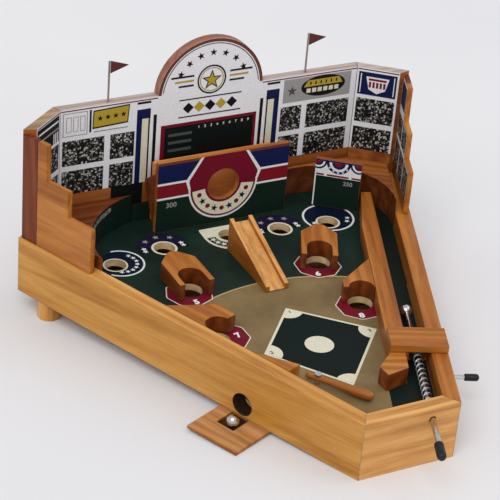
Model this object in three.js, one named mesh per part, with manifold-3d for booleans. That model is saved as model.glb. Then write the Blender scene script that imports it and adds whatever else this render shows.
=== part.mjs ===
// Wooden tabletop pinball game with a baseball field: a low fan shaped wooden box on two back
// feet, a printed playfield with holes, a spring plunger, a bat on a push rod, and a backdrop of
// upright panels with an arched top. Millimetres, +Z up, front at -Y, the box tilted to the front.
import * as THREE from 'three';
import { mergeVertices } from 'three/addons/utils/BufferGeometryUtils.js';
import Module from 'manifold-3d';

const wasm = await Module();
wasm.setup();

// Box: driving sizes in millimetres, angles in degrees
const FRONT_WIDTH = 56.4;
const FLARE_ANGLE = 23.08;
const SIDE_LENGTH = 247;
const BACK_WIDTH = 196.5;
const WING_DEPTH = 21.77;
const WALL_HEIGHT = 34.5;
const WALL = 9;
const FIELD_TOP = 24;
const FIELD_BOARD = 4;
const BOTTOM_BOARD = 3;
const DRAIN_LEFT = -19;
const DRAIN_RIGHT = 9;
const DRAIN_DEPTH = 11;
const CLEAT = 5;
const LEFT_CLEAT_START = 125;
const RIGHT_CLEAT_START = 62;
const CLEAT_SHORT = 22;
const WEDGE_HEIGHT = 9;
const WEDGE_EDGE = 0.6;
const WEDGE_LEFT = 70;
const WEDGE_RIGHT = 89;

// Feet under the back, and the flat strip that the front edge stands on
const FOOT_HEIGHT = 12;
const FOOT_DIAMETER = 14;
const FOOT_ROUND = 2.5;
const FOOT_SHORT = 19;
const FOOT_INSET = 7;
const FRONT_WEAR = 0.3;

// Clearances
const GAP = 0.3;
const RUNNING = 0.4;
const OVERRUN = 20;

// Balls, lane and plunger
const BALL = 7;
const LANE_WIDTH = 12;
const DIVIDER_WIDTH = 10;
const DIVIDER_START = 44;
const DIVIDER_SHORT = 30;
const DIVIDER_TAPER = 42;
const DIVIDER_TIP = 6;
const BRIDGE_LENGTH = 18;
const BRIDGE_THICKNESS = 4;
const GUIDE_LENGTH = 9.5;
const PLUNGER_RAISE = 4.2;
const PLUNGER_DIAMETER = 3;
const PLUNGER_TIP = 91.6;
const PLUNGER_OUT = 20.6;
const KNOB_DIAMETER = 5;
const KNOB_LENGTH = 12;
const COLLAR_DIAMETER = 7.6;
const COLLAR_LENGTH = 2;
const SPRING_DIAMETER = 5.2;
const SPRING_WIRE = 0.8;
const SPRING_TURNS = 12;
const SIDE_BLOCK_FRONT = 22.8;
const SIDE_BLOCK_SHOULDER = 30;
const SIDE_BLOCK_START = 2;
const SIDE_BLOCK_NOSE = 13.5;
const SIDE_BLOCK_WIDTH = 17.2;

// Corner guides and outfield walls
const GUIDE_RIGHT_HEIGHT = 18.5;
const GUIDE_RIGHT_RADIUS = 40;
const GUIDE_RIGHT_BACK = 2;
const GUIDE_RIGHT_END = 50;
const GUIDE_LEFT_HEIGHT = 18;
const GUIDE_LEFT_RADIUS = 59;
const GUIDE_LEFT_SHORT = 57;
const GUIDE_LEFT_END = 50;
const OUTFIELD_BOARD = 3;
const CENTER_WALL_SHORT = 27;
const CENTER_WALL_WIDTH = 85;
const CENTER_WALL_HEIGHT = 46;
const HOME_RUN_HOLE = 20;
const HOME_RUN_HOLE_HEIGHT = 25.8;
const BRACKET_TOP = 38;
const BRACKET_FOOT = 2;
const BRACKET_TIP = 27;
const BACKSTOP_HEIGHT = 38;
const BACKSTOP_SHORT = 1.5;
const RIGHT_WALL_START = 0.7;
const RIGHT_WALL_REACH = 25.2;
const RIGHT_WALL_TURN = 37.7;
const RIGHT_WALL_LENGTH = 28;
const RIGHT_WALL_HEIGHT = 32;

// Ramp to the home run hole
const RAMP_MIDDLE = -3.3;
const RAMP_SHORT = 31;
const RAMP_LENGTH = 49;
const RAMP_WIDTH = 14.4;
const RAMP_HEIGHT = 21;
const RAMP_RAIL = 2.4;
const RAMP_RAIL_RISE = 3;
const RAMP_LIP = 0.6;

// Holes of the playfield and the pocket blocks round four of them
const HIT_HOLE = 12;
const HIT_PLACE_SHARES = [
  [-0.7939, 0.7912], [-0.4478, 0.8233], [-0.0224, 0.8273], [0.3054, 0.8133], [0.6209, 0.8032],
];
const POCKET_HOLE = 14;
const FREE_POCKET_SHARES = [[-0.5028, 0.6365], [0.3379, 0.6462]];
const DIVIDER_POCKET_SHARE = 0.4358;
const WALL_POCKET_SHARE = 0.4483;
const POCKET_TURNS = [0, -27, -FLARE_ANGLE, FLARE_ANGLE];
const POCKET_ARM = 3.2;
const POCKET_FRONT = 8.5;
const POCKET_SHOULDER = 17;
const POCKET_BACK = 26.5;
const POCKET_NOSE = 5;
const SIDE_POCKET_BACK = 31.5;
const DIVIDER_POCKET_REACH = 7.4;
const DIVIDER_POCKET_ARM = 2.9;
const DIVIDER_POCKET_SHOULDER = 6.6;
const DIVIDER_POCKET_SLANT = 21;
const WALL_POCKET_REACH = 7.12;
const WALL_POCKET_ARM = 6.5;
const WALL_POCKET_SHOULDER = 13.9;
const WALL_POCKET_SLANT = 24.9;
const DROP_HOLE = 9;
const DROP_SHORT = 18;

// Wedge on the left wall that leads the ball to the bat
const RAIL_START = 80;
const RAIL_END = 56.5;
const RAIL_TIP = 18.5;

// Bat, crank and push rod
const BAT_PIVOT = [-25, 54];
const BAT_LENGTH = 38;
const BAT_BUTT = 6.5;
const BAT_BARREL = 5.4;
const BAT_NECK_SHARE = 0.6;
const BAT_ANGLE = -54;
const BAT_SWING = 50;
const BAT_RAISE = 0.6;
const PIN_DIAMETER = 2.4;
const PIN_HEAD = 4;
const PIN_HEAD_HEIGHT = 1;
const CRANK_ARM = 13;
const CRANK_WIDTH = 6;
const CRANK_THICKNESS = 2.2;
const PEG_DIAMETER = 2.4;
const ROD_HEIGHT = 15.6;
const ROD_PLACE = 50;
const ROD_DIAMETER = 2.4;
const ROD_OUT = 12;
const ROD_KNOB = 4;
const ROD_KNOB_LENGTH = 8;
const ROD_COLLAR = 6;
const ROD_COLLAR_LENGTH = 2;
const ROD_SPRING_LENGTH = 20;
const YOKE_WIDTH = 8;
const YOKE_THICKNESS = 3;
const YOKE_WALL = 2.5;
const ROD_GUIDE_LENGTH = 8;
const ROD_GUIDE_WIDTH = 11;
const ROD_GUIDE_DROP = 2.4;

// Ball return and tray
const RETURN_HOLE = 13;
const RETURN_RAISE = 0.5;
const RETURN_PLACE = 77.7;
const TRAY_PLACE = 75.2;
const TRAY_WIDTH = 33.5;
const TRAY_OUT = 26.5;
const TRAY_UNDER = 12;
const TRAY_BOARD = 1.7;
const RECESS_WIDTH = 11.5;
const RECESS_OUT = 13;
const RECESS_DEPTH = 1.2;

// Backdrop
const PANEL = 6;
const SIDE_PANEL = 3.2;
const PANEL_INSET = 1.5;
const PANEL_TOP = 103;
const SIDE_TOP = 100.2;
const BACKDROP_MIDDLE = -2.2;
const ARCH_RADIUS = 33.6;
const ARCH_HEIGHT = 101;
const POST_LENGTH = 12.7;
const STEP_SHORTS = [55, 36.8, 20];
const STEP_HEIGHTS = [62, 78.2];
const POLE_DIAMETER = 1.2;
const POLE_PLACE = 63.4;
const POLE_RISE = 25;
const POLE_SEAT = 6;
const FLAG_LENGTH = 11;
const FLAG_DROP = 7.5;
const FLAG_SHEET = 0.6;

// Fineness of round shapes, as numbers of sides
const ROUND = 24;
const SMALL_ROUND = 12;
const ARC_STEPS = 12;
const SHORT_ARC_STEPS = 5;
const BALL_FINENESS = 4;
const SPRING_STEPS = 8;
const SPRING_SIDES = 5;

// Profiles as shares of the radius and of the length
const KNOB_SHARES = [[0, 0], [0.8, 0], [1, 0.06], [1, 0.8], [0.8, 0.94], [0.4, 1], [0, 1]];
const KNOB_SEAT_SHARE = 0.6;
const BAT_SHARES = [
  [0, 0], [0.6, 0.01], [0.72, 0.04], [0.64, 0.1], [BAT_NECK_SHARE, 0.3], [0.72, 0.5], [0.93, 0.72],
  [1, 0.86], [0.88, 0.96], [0.5, 1], [0, 1],
];

const radians = THREE.MathUtils.degToRad;
const flare = radians(FLARE_ANGLE);
const footPlace = SIDE_LENGTH - FOOT_SHORT;
const tilt = Math.atan2(FOOT_HEIGHT, footPlace * Math.cos(flare));
const boxDepth = SIDE_LENGTH * Math.cos(flare) + WING_DEPTH;
const fieldBottom = FIELD_TOP - FIELD_BOARD;
const standing = FIELD_TOP + GAP;
const laneMiddle = WALL + LANE_WIDTH / 2;
const laneSide = WALL + LANE_WIDTH;
const dividerSide = laneSide + DIVIDER_WIDTH;
const dividerEnd = SIDE_LENGTH - DIVIDER_SHORT;
const centerWallPlace = boxDepth - CENTER_WALL_SHORT;

// Materials
function paint(color, roughness, metalness = 0) {
  return new THREE.MeshStandardMaterial({ color, roughness, metalness });
}

const wood = paint(0xbe8745, 0.5);
const darkWood = paint(0x8f5228, 0.55);
const plywood = paint(0xd8bd93, 0.65);
const fieldPrint = paint(0x1b3a2e, 0.45);
const panelPrint = paint(0xdeded8, 0.5);
const steel = paint(0xc4c6c9, 0.22, 1);
const rubber = paint(0x121214, 0.6);
const maroon = paint(0x5e2a2b, 0.7);

// Solids: joining and cutting
function toSolid(geometry) {
  const bare = geometry.clone();
  bare.deleteAttribute('normal');
  bare.deleteAttribute('uv');
  const merged = mergeVertices(bare, 1e-5);
  return new wasm.Manifold(new wasm.Mesh({
    numProp: 3,
    vertProperties: new Float32Array(merged.attributes.position.array),
    triVerts: new Uint32Array(merged.index.array),
  }));
}

function toGeometry(solid) {
  const mesh = solid.getMesh();
  const geometry = new THREE.BufferGeometry();
  geometry.setAttribute('position', new THREE.BufferAttribute(mesh.vertProperties, 3));
  geometry.setIndex(new THREE.BufferAttribute(mesh.triVerts, 1));
  const flat = geometry.toNonIndexed();
  flat.computeVertexNormals();
  return flat;
}

function cut(geometry, ...tools) {
  const rest = tools.reduce((solid, tool) => solid.subtract(toSolid(tool)), toSolid(geometry));
  return toGeometry(rest);
}

function join(geometry, ...others) {
  const whole = others.reduce((solid, other) => solid.add(toSolid(other)), toSolid(geometry));
  return toGeometry(whole);
}

function overlap(geometry, other) {
  return toGeometry(toSolid(geometry).intersect(toSolid(other)));
}

function outlineShape(points) {
  return new THREE.Shape(points.map(([x, y]) => new THREE.Vector2(x, y)));
}

// An upright prism over an outline, with round holes given as x, y and diameter
function board(points, bottom, top, rounds = []) {
  const shape = outlineShape(points);
  for (const [x, y, diameter] of rounds) {
    const hole = new THREE.Path();
    hole.absarc(x, y, diameter / 2, 0, 2 * Math.PI, true);
    shape.holes.push(hole);
  }
  const settings = { depth: top - bottom, bevelEnabled: false, curveSegments: SMALL_ROUND };
  return new THREE.ExtrudeGeometry(shape, settings).translate(0, 0, bottom);
}

const axisX = new THREE.Vector3(1, 0, 0);
const axisY = new THREE.Vector3(0, 1, 0);
const axisZ = new THREE.Vector3(0, 0, 1);

// A prism over an outline of places along Y and up, between two places across
function sideBoard(points, from, to) {
  const geometry = new THREE.ExtrudeGeometry(outlineShape(points), { depth: to - from, bevelEnabled: false });
  return geometry.applyMatrix4(new THREE.Matrix4().makeBasis(axisY, axisZ, axisX)).translate(from, 0, 0);
}

// A prism over an outline of places across and up, between two places along Y
function frontBoard(points, from, to) {
  const geometry = new THREE.ExtrudeGeometry(outlineShape(points), { depth: to - from, bevelEnabled: false });
  return geometry.rotateX(Math.PI / 2).translate(0, to, 0);
}

function block(x0, x1, y0, y1, z0, z1) {
  const box = new THREE.BoxGeometry(x1 - x0, y1 - y0, z1 - z0);
  return box.translate((x0 + x1) / 2, (y0 + y1) / 2, (z0 + z1) / 2);
}

// A turned piece along a direction, its profile given as radius and place
function turned(profile, from, direction, sides = SMALL_ROUND) {
  const points = profile.map(([radius, place]) => new THREE.Vector2(radius, place));
  const axis = new THREE.Vector3(...direction).normalize();
  const turn = new THREE.Quaternion().setFromUnitVectors(new THREE.Vector3(0, 1, 0), axis);
  return new THREE.LatheGeometry(points, sides).applyQuaternion(turn).translate(...from);
}

function bar(from, to, diameter, sides = SMALL_ROUND) {
  const along = new THREE.Vector3(...to).sub(new THREE.Vector3(...from));
  const radius = diameter / 2;
  const profile = [[0, 0], [radius, 0], [radius, along.length()], [0, along.length()]];
  return turned(profile, from, along.toArray(), sides);
}

function arc(cx, cy, radius, from, to, steps = ARC_STEPS) {
  return Array.from({ length: steps + 1 }, (_, i) => {
    const angle = from + (to - from) * i / steps;
    return [cx + radius * Math.cos(angle), cy + radius * Math.sin(angle)];
  });
}

// Plan of the box: outer outline, its insets, and places along the flared sides
const sideDirection = [Math.sin(flare), Math.cos(flare)];
const outwards = [Math.cos(flare), -Math.sin(flare), 0];
const frontHalf = FRONT_WIDTH / 2;
const wingCorner = [frontHalf + SIDE_LENGTH * sideDirection[0], SIDE_LENGTH * sideDirection[1]];
const outer = [
  [-frontHalf, 0], [frontHalf, 0], wingCorner, [BACK_WIDTH / 2, boxDepth],
  [-BACK_WIDTH / 2, boxDepth], [-wingCorner[0], wingCorner[1]],
];
const [FRONT, RIGHT, WING_RIGHT, BACK, WING_LEFT, LEFT] = outer.keys();

function rightPlace(along, inset) {
  const [dx, dy] = sideDirection;
  return [frontHalf + along * dx - inset * dy, along * dy + inset * dx];
}

function leftPlace(along, inset) {
  const [x, y] = rightPlace(along, inset);
  return [-x, y];
}

// How far a point lies along the right wall, and how far in from its outer face
function fromRightWall([x, y]) {
  const [dx, dy] = sideDirection;
  return { along: (x - frontHalf) * dx + y * dy, inset: (frontHalf - x) * dy + y * dx };
}

function crossing([ax, ay], [bx, by], [cx, cy], [dx, dy]) {
  const [rx, ry] = [bx - ax, by - ay];
  const [sx, sy] = [dx - cx, dy - cy];
  const share = ((cx - ax) * sy - (cy - ay) * sx) / (rx * sy - ry * sx);
  return [ax + share * rx, ay + share * ry];
}

function movedSide(side, inset) {
  const [ax, ay] = outer[side];
  const [bx, by] = outer[(side + 1) % outer.length];
  const length = Math.hypot(bx - ax, by - ay);
  const [nx, ny] = [-(by - ay) / length * inset, (bx - ax) / length * inset];
  return [[ax + nx, ay + ny], [bx + nx, by + ny]];
}

function insetOutline(inset) {
  return outer.map((_, side) => {
    const before = (side + outer.length - 1) % outer.length;
    return crossing(...movedSide(before, inset), ...movedSide(side, inset));
  });
}

// One side of a ring between two outlines, mitred and shortened a little at both ends
function strip(side, outside, inside, shorten = GAP / 2) {
  const next = (side + 1) % outside.length;
  const [a, b, c, d] = [outside[side], outside[next], inside[next], inside[side]];
  const length = Math.hypot(b[0] - a[0], b[1] - a[1]);
  const [dx, dy] = [(b[0] - a[0]) / length * shorten, (b[1] - a[1]) / length * shorten];
  return [
    [a[0] + dx, a[1] + dy], [b[0] - dx, b[1] - dy], [c[0] - dx, c[1] - dy], [d[0] + dx, d[1] + dy],
  ];
}

// A four sided outline beside a flared wall, between two places along and two insets
function beside(place, start, end, near, far) {
  return [place(start, near), place(end, near), place(end, far), place(start, far)];
}

const wallInside = insetOutline(WALL);
const boardEdge = insetOutline(WALL + GAP);
const panelOutside = insetOutline(PANEL_INSET);
const panelInside = insetOutline(PANEL_INSET + PANEL);
const sidePanelInside = insetOutline(PANEL_INSET + SIDE_PANEL);
const innerBack = boxDepth - WALL - GAP;

// The tilted game, and how a piece joins it
const game = new THREE.Group();
game.rotation.x = tilt;

function add(name, geometry, material) {
  const mesh = new THREE.Mesh(geometry, material);
  mesh.name = name;
  game.add(mesh);
}

// What would lie below the table once the box is tilted
function belowTable() {
  const ground = block(-boxDepth, boxDepth, -boxDepth, 2 * boxDepth, -boxDepth, FRONT_WEAR);
  return ground.rotateX(-tilt);
}

// Places of the holes: shares of half the back's width and of the depth, or beside a wall
const spread = ([across, back]) => [across * BACK_WIDTH / 2, back * boxDepth];
const hitPlaces = HIT_PLACE_SHARES.map(spread);
const pocketPlaces = [
  ...FREE_POCKET_SHARES.map(spread),
  rightPlace(DIVIDER_POCKET_SHARE * SIDE_LENGTH, dividerSide + GAP + DIVIDER_POCKET_REACH),
  leftPlace(WALL_POCKET_SHARE * SIDE_LENGTH, WALL + GAP + WALL_POCKET_REACH),
];

// Lines of the plunger and of the push rod
const plungerHeight = FIELD_TOP + PLUNGER_RAISE;
const plungerLine = (along) => [...rightPlace(along, laneMiddle), plungerHeight];
const rodLine = (inset) => [...rightPlace(ROD_PLACE, inset), ROD_HEIGHT];

function baseWalls() {
  const wall = (side) => board(strip(side, outer, wallInside), 0, WALL_HEIGHT);
  const plungerBore = bar(plungerLine(-OVERRUN), plungerLine(OVERRUN), PLUNGER_DIAMETER + 2 * RUNNING);
  add('front_wall', cut(wall(FRONT), plungerBore, belowTable()), wood);
  const rodBore = bar(rodLine(-OVERRUN), rodLine(OVERRUN), ROD_DIAMETER + 2 * RUNNING);
  add('right_wall', cut(wall(RIGHT), rodBore, belowTable()), wood);
  const height = RETURN_HOLE / 2 + RETURN_RAISE;
  const returnBore = bar([...leftPlace(RETURN_PLACE, OVERRUN), height],
    [...leftPlace(RETURN_PLACE, -OVERRUN), height], RETURN_HOLE, ROUND);
  add('left_wall', cut(wall(LEFT), returnBore, belowTable()), wood);
  add('right_wing_wall', wall(WING_RIGHT), wood);
  add('back_wall', wall(BACK), wood);
  add('left_wing_wall', wall(WING_LEFT), wood);
}

// The playfield: hit holes, pockets, drop hole, the bore of the bat's pin, and a gap behind
// the front wall where a missed ball drains
function playfield() {
  const holes = [
    ...hitPlaces.map(([x, y]) => [x, y, HIT_HOLE]),
    ...pocketPlaces.map(([x, y]) => [x, y, POCKET_HOLE]),
    [0, boxDepth - DROP_SHORT, DROP_HOLE],
    [...BAT_PIVOT, PIN_DIAMETER + 2 * RUNNING],
  ];
  const [frontLeft, ...others] = boardEdge;
  const front = frontLeft[1];
  const drainBack = front + DRAIN_DEPTH;
  const outline = [
    frontLeft, [DRAIN_LEFT, front], [DRAIN_LEFT, drainBack], [DRAIN_RIGHT, drainBack],
    [DRAIN_RIGHT, front], ...others,
  ];
  add('playfield', board(outline, fieldBottom, FIELD_TOP, holes), fieldPrint);
}

function boxInside() {
  add('bottom_board', board(boardEdge, 0, BOTTOM_BOARD), plywood);
  const top = fieldBottom - GAP;
  const near = WALL + GAP;
  const end = SIDE_LENGTH - CLEAT_SHORT;
  const right = beside(rightPlace, RIGHT_CLEAT_START, end, near, near + CLEAT);
  const left = beside(leftPlace, LEFT_CLEAT_START, end, near, near + CLEAT);
  add('right_cleat', board(right, top - CLEAT, top), plywood);
  add('left_cleat', board(left, top - CLEAT, top), plywood);
  add('return_wedge', returnWedge(), plywood);
}

// Sloped board: high behind the front wall, down to a line that runs across to the return hole
function returnWedge() {
  const bottom = BOTTOM_BOARD + GAP;
  const left = leftPlace(WEDGE_LEFT, WALL + GAP);
  const right = rightPlace(WEDGE_RIGHT, WALL + GAP);
  const geometry = board([boardEdge[FRONT], boardEdge[RIGHT], right, left], bottom, bottom + WEDGE_HEIGHT);
  const [dx, dy] = [right[0] - left[0], right[1] - left[1]];
  const distance = (x, y) => (x - left[0]) * dy - (y - left[1]) * dx;
  const highest = distance(...boardEdge[RIGHT]);
  const position = geometry.attributes.position;
  for (let i = 0; i < position.count; i += 1) {
    if (position.getZ(i) > bottom + WEDGE_EDGE) {
      const share = distance(position.getX(i), position.getY(i)) / highest;
      position.setZ(i, bottom + WEDGE_EDGE + (WEDGE_HEIGHT - WEDGE_EDGE) * share);
    }
  }
  return geometry;
}

// Feet: turned dowels with a rounded lower edge, cut flat where they stand
function feet() {
  const radius = FOOT_DIAMETER / 2;
  for (const [name, place] of [['foot_left', leftPlace], ['foot_right', rightPlace]]) {
    const [x, y] = place(footPlace, FOOT_INSET);
    const low = (FRONT_WEAR - y * Math.sin(tilt)) / Math.cos(tilt) - FOOT_ROUND / 2;
    const curve = arc(radius - FOOT_ROUND, low + FOOT_ROUND, FOOT_ROUND, -Math.PI / 2, 0, SHORT_ARC_STEPS);
    const profile = [[0, low], ...curve, [radius, -GAP], [0, -GAP]];
    add(name, cut(turned(profile, [x, y, 0], [0, 0, 1], ROUND), belowTable()), wood);
  }
}

// Tray under the left wall that catches the returned ball
function tray() {
  const start = TRAY_PLACE - TRAY_WIDTH / 2;
  const plate = board(beside(leftPlace, start, start + TRAY_WIDTH, -TRAY_OUT, TRAY_UNDER),
    -GAP - TRAY_BOARD, -GAP);
  const near = RETURN_PLACE - RECESS_WIDTH / 2;
  const recess = board(beside(leftPlace, near, near + RECESS_WIDTH, -RECESS_OUT, 0),
    -GAP - RECESS_DEPTH, OVERRUN);
  add('ball_tray', cut(plate, recess), darkWood);
}

// Lane divider, the bridge and guide that carry the plunger, and the block beside its spring
const bridgeEnd = DIVIDER_START + BRIDGE_LENGTH;
const guideStart = bridgeEnd - GUIDE_LENGTH - GAP;

function lane() {
  const divider = [
    rightPlace(DIVIDER_START, laneSide), rightPlace(dividerEnd, laneSide),
    rightPlace(dividerEnd, laneSide + DIVIDER_TIP), rightPlace(dividerEnd - DIVIDER_TAPER, dividerSide),
    rightPlace(DIVIDER_START, dividerSide),
  ];
  add('lane_divider', board(divider, standing, WALL_HEIGHT), wood);
  const bridgeBottom = WALL_HEIGHT + GAP;
  add('plunger_bridge', board(beside(rightPlace, DIVIDER_START, bridgeEnd, 0, dividerSide),
    bridgeBottom, bridgeBottom + BRIDGE_THICKNESS), wood);
  const guide = board(beside(rightPlace, guideStart, guideStart + GUIDE_LENGTH, WALL + GAP, laneSide - GAP),
    standing, WALL_HEIGHT);
  const bore = bar(plungerLine(guideStart - OVERRUN), plungerLine(bridgeEnd + OVERRUN),
    PLUNGER_DIAMETER + 2 * RUNNING);
  add('plunger_guide', cut(guide, bore), wood);
  const back = DIVIDER_START - GAP;
  const start = laneSide + SIDE_BLOCK_START;
  const sideBlock = [
    rightPlace(back, start), rightPlace(back, dividerSide),
    rightPlace(SIDE_BLOCK_SHOULDER, laneSide + SIDE_BLOCK_WIDTH),
    rightPlace(SIDE_BLOCK_FRONT, laneSide + SIDE_BLOCK_NOSE), rightPlace(SIDE_BLOCK_SHOULDER, start),
  ];
  add('plunger_side_block', board(sideBlock, standing, WALL_HEIGHT), wood);
}

// Curved corner guides at the back of the field
function cornerGuides() {
  const stripFront = innerBack - GUIDE_RIGHT_BACK;
  const centerY = stripFront - GUIDE_RIGHT_RADIUS;
  const inset = WALL + GAP + GUIDE_RIGHT_RADIUS;
  const sideLine = [rightPlace(0, inset), rightPlace(SIDE_LENGTH, inset)];
  const [centerX] = crossing(...sideLine, [0, centerY], [BACK_WIDTH, centerY]);
  const right = [
    boardEdge[WING_RIGHT], boardEdge[BACK], [GUIDE_RIGHT_END, innerBack], [GUIDE_RIGHT_END, stripFront],
    ...arc(centerX, centerY, GUIDE_RIGHT_RADIUS, Math.PI / 2, -flare),
  ];
  add('corner_guide_right', board(right, standing, FIELD_TOP + GUIDE_RIGHT_HEIGHT), darkWood);
  const from = leftPlace(SIDE_LENGTH - GUIDE_LEFT_SHORT, WALL + GAP);
  const to = [-GUIDE_LEFT_END, innerBack];
  const left = [...hollow(from, to, GUIDE_LEFT_RADIUS), boardEdge[WING_LEFT], boardEdge[LEFT]];
  add('corner_guide_left', board(left, standing, FIELD_TOP + GUIDE_LEFT_HEIGHT), darkWood);
}

// An arc from one point to another that bows to the left of the way between them
function hollow([ax, ay], [bx, by], radius) {
  const half = Math.hypot(bx - ax, by - ay) / 2;
  const way = Math.atan2(by - ay, bx - ax);
  const depth = Math.sqrt(radius * radius - half * half);
  const cx = (ax + bx) / 2 + Math.sin(way) * depth;
  const cy = (ay + by) / 2 - Math.cos(way) * depth;
  const opening = Math.asin(half / radius);
  const middle = way + Math.PI / 2;
  return arc(cx, cy, radius, middle + opening, middle - opening);
}

// Outfield wall with its round hole, its brackets, and the backstop behind it
function outfield() {
  const half = CENTER_WALL_WIDTH / 2;
  const front = centerWallPlace;
  const back = front + OUTFIELD_BOARD;
  const holeHeight = FIELD_TOP + HOME_RUN_HOLE_HEIGHT;
  const hole = bar([0, front - OVERRUN, holeHeight], [0, back + OVERRUN, holeHeight], HOME_RUN_HOLE, ROUND);
  const center = block(-half, half, front, back, standing, FIELD_TOP + CENTER_WALL_HEIGHT);
  add('outfield_wall_center', cut(center, hole), wood);
  const bracket = [
    [back + GAP, FIELD_TOP + BRACKET_FOOT], [innerBack, FIELD_TOP + BRACKET_TIP],
    [back + GAP, FIELD_TOP + BRACKET_TOP],
  ];
  add('outfield_bracket_left', sideBoard(bracket, -half, -half + OUTFIELD_BOARD), wood);
  add('outfield_bracket_right', sideBoard(bracket, half - OUTFIELD_BOARD, half), wood);
  const stopHalf = half - OUTFIELD_BOARD - BACKSTOP_SHORT;
  add('home_run_backstop', block(-stopHalf, stopHalf, innerBack - OUTFIELD_BOARD,
    innerBack, standing, FIELD_TOP + BACKSTOP_HEIGHT), wood);
  const panel = block(0, RIGHT_WALL_LENGTH, 0, OUTFIELD_BOARD, standing, FIELD_TOP + RIGHT_WALL_HEIGHT);
  const start = rightPlace(dividerEnd + RIGHT_WALL_START, dividerSide + RIGHT_WALL_REACH);
  panel.rotateZ(-radians(RIGHT_WALL_TURN)).translate(...start, 0);
  add('outfield_wall_right', panel, wood);
}

// Ramp with two side rails
function ramp() {
  const x = RAMP_MIDDLE;
  const y = centerWallPlace - RAMP_SHORT - RAMP_LENGTH;
  const half = RAMP_WIDTH / 2;
  const rise = RAMP_HEIGHT - RAMP_LIP - RAMP_RAIL_RISE;
  const top = FIELD_TOP + RAMP_HEIGHT;
  const side = [[y, standing], [y + RAMP_LENGTH, standing], [y + RAMP_LENGTH, top], [y, top - rise]];
  const inner = half - RAMP_RAIL;
  const floorAt = (place) => FIELD_TOP + RAMP_LIP + rise / RAMP_LENGTH * place;
  const end = RAMP_LENGTH + OVERRUN;
  const channel = [
    [y - OVERRUN, floorAt(-OVERRUN)], [y + end, floorAt(end)], [y + end, top + OVERRUN],
    [y - OVERRUN, top + OVERRUN],
  ];
  const body = cut(sideBoard(side, x - half, x + half), sideBoard(channel, x - inner, x + inner));
  add('home_run_ramp', body, wood);
}

// Pocket blocks: each has a notch, open to the front, round the back of its hole. The third one
// leans on the lane divider, the fourth one, drawn mirrored, on the left wall
function pocketBlocks() {
  const third = sidePocket(DIVIDER_POCKET_REACH, DIVIDER_POCKET_ARM, DIVIDER_POCKET_SHOULDER,
    DIVIDER_POCKET_SLANT);
  const fourth = sidePocket(WALL_POCKET_REACH, WALL_POCKET_ARM, WALL_POCKET_SHOULDER, WALL_POCKET_SLANT);
  const mirrored = fourth.map(([u, v]) => [-u, v]);
  [freePocket(), freePocket(), third, mirrored].forEach((outline, index) => {
    const [x, y] = pocketPlaces[index];
    const geometry = board(outline, standing, WALL_HEIGHT);
    geometry.rotateZ(radians(POCKET_TURNS[index])).translate(x, y, 0);
    add(`pocket_block_${index + 1}`, geometry, wood);
  });
}

const notch = POCKET_HOLE / 2 + GAP;

// A block that stands free on the field and has a rounded back
function freePocket() {
  const half = notch + POCKET_ARM;
  return [
    [-half, -POCKET_FRONT], [-notch, -POCKET_FRONT], ...arc(0, 0, notch, Math.PI, 0),
    [notch, -POCKET_FRONT], [half, -POCKET_FRONT], [half, POCKET_SHOULDER],
    ...arc(0, POCKET_BACK - POCKET_NOSE, POCKET_NOSE, radians(35), radians(145), SHORT_ARC_STEPS),
    [-half, POCKET_SHOULDER],
  ];
}

// A block whose right side lies along a wall, at a distance from the middle of its hole
function sidePocket(reach, arm, shoulder, slant) {
  const start = Math.acos(Math.min(1, reach / notch)) + GAP / notch;
  return [
    ...arc(0, 0, notch, Math.PI, start), [reach, notch * Math.sin(start)], [reach, SIDE_POCKET_BACK],
    [0, slant], [-notch - arm, shoulder], [-notch - arm, 0],
  ];
}

function wallRail() {
  const inset = WALL + GAP;
  const outline = [leftPlace(RAIL_START, inset), leftPlace(RAIL_END, inset), leftPlace(RAIL_END, RAIL_TIP)];
  add('wall_rail', board(outline, standing, WALL_HEIGHT), wood);
}

// Black end of a rod: a turned knob with a blind bore
function knob(from, direction, diameter, length, bore) {
  const profile = KNOB_SHARES.map(([radius, place]) => [radius * diameter / 2, place * length]);
  const along = (distance) => from.map((value, i) => value + direction[i] * distance);
  const seat = bar(along(-OVERRUN), along(length * KNOB_SEAT_SHARE + GAP), bore);
  return cut(turned(profile, from, direction), seat);
}

// Plunger on the middle line of the lane, held back against the guide by its spring
function plunger() {
  const frontFace = -laneMiddle * Math.tan(flare);
  const knobStart = frontFace - PLUNGER_OUT;
  const backwards = [-sideDirection[0], -sideDirection[1], 0];
  const bore = PLUNGER_DIAMETER + 2 * GAP;
  const rodStart = knobStart - KNOB_LENGTH * KNOB_SEAT_SHARE;
  add('plunger_rod', bar(plungerLine(rodStart), plungerLine(PLUNGER_TIP), PLUNGER_DIAMETER), steel);
  add('plunger_knob', knob(plungerLine(knobStart), backwards, KNOB_DIAMETER, KNOB_LENGTH, bore), rubber);
  const collarEnd = guideStart - GAP;
  const collarStart = collarEnd - COLLAR_LENGTH;
  const collar = bar(plungerLine(collarStart), plungerLine(collarEnd), COLLAR_DIAMETER, ROUND);
  const collarBore = bar(plungerLine(-OVERRUN), plungerLine(collarEnd + OVERRUN), bore);
  add('plunger_collar', cut(collar, collarBore), steel);
  const wallBack = frontFace + WALL / Math.cos(flare);
  const springStart = wallBack + SPRING_DIAMETER / 2 * Math.tan(flare) + GAP;
  const geometry = coil(collarStart - GAP - springStart, SPRING_DIAMETER, SPRING_WIRE, SPRING_TURNS);
  const axis = new THREE.Vector3(...sideDirection, 0);
  geometry.applyQuaternion(new THREE.Quaternion().setFromUnitVectors(new THREE.Vector3(0, 1, 0), axis));
  add('plunger_spring', geometry.translate(...plungerLine(springStart)), steel);
}

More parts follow.
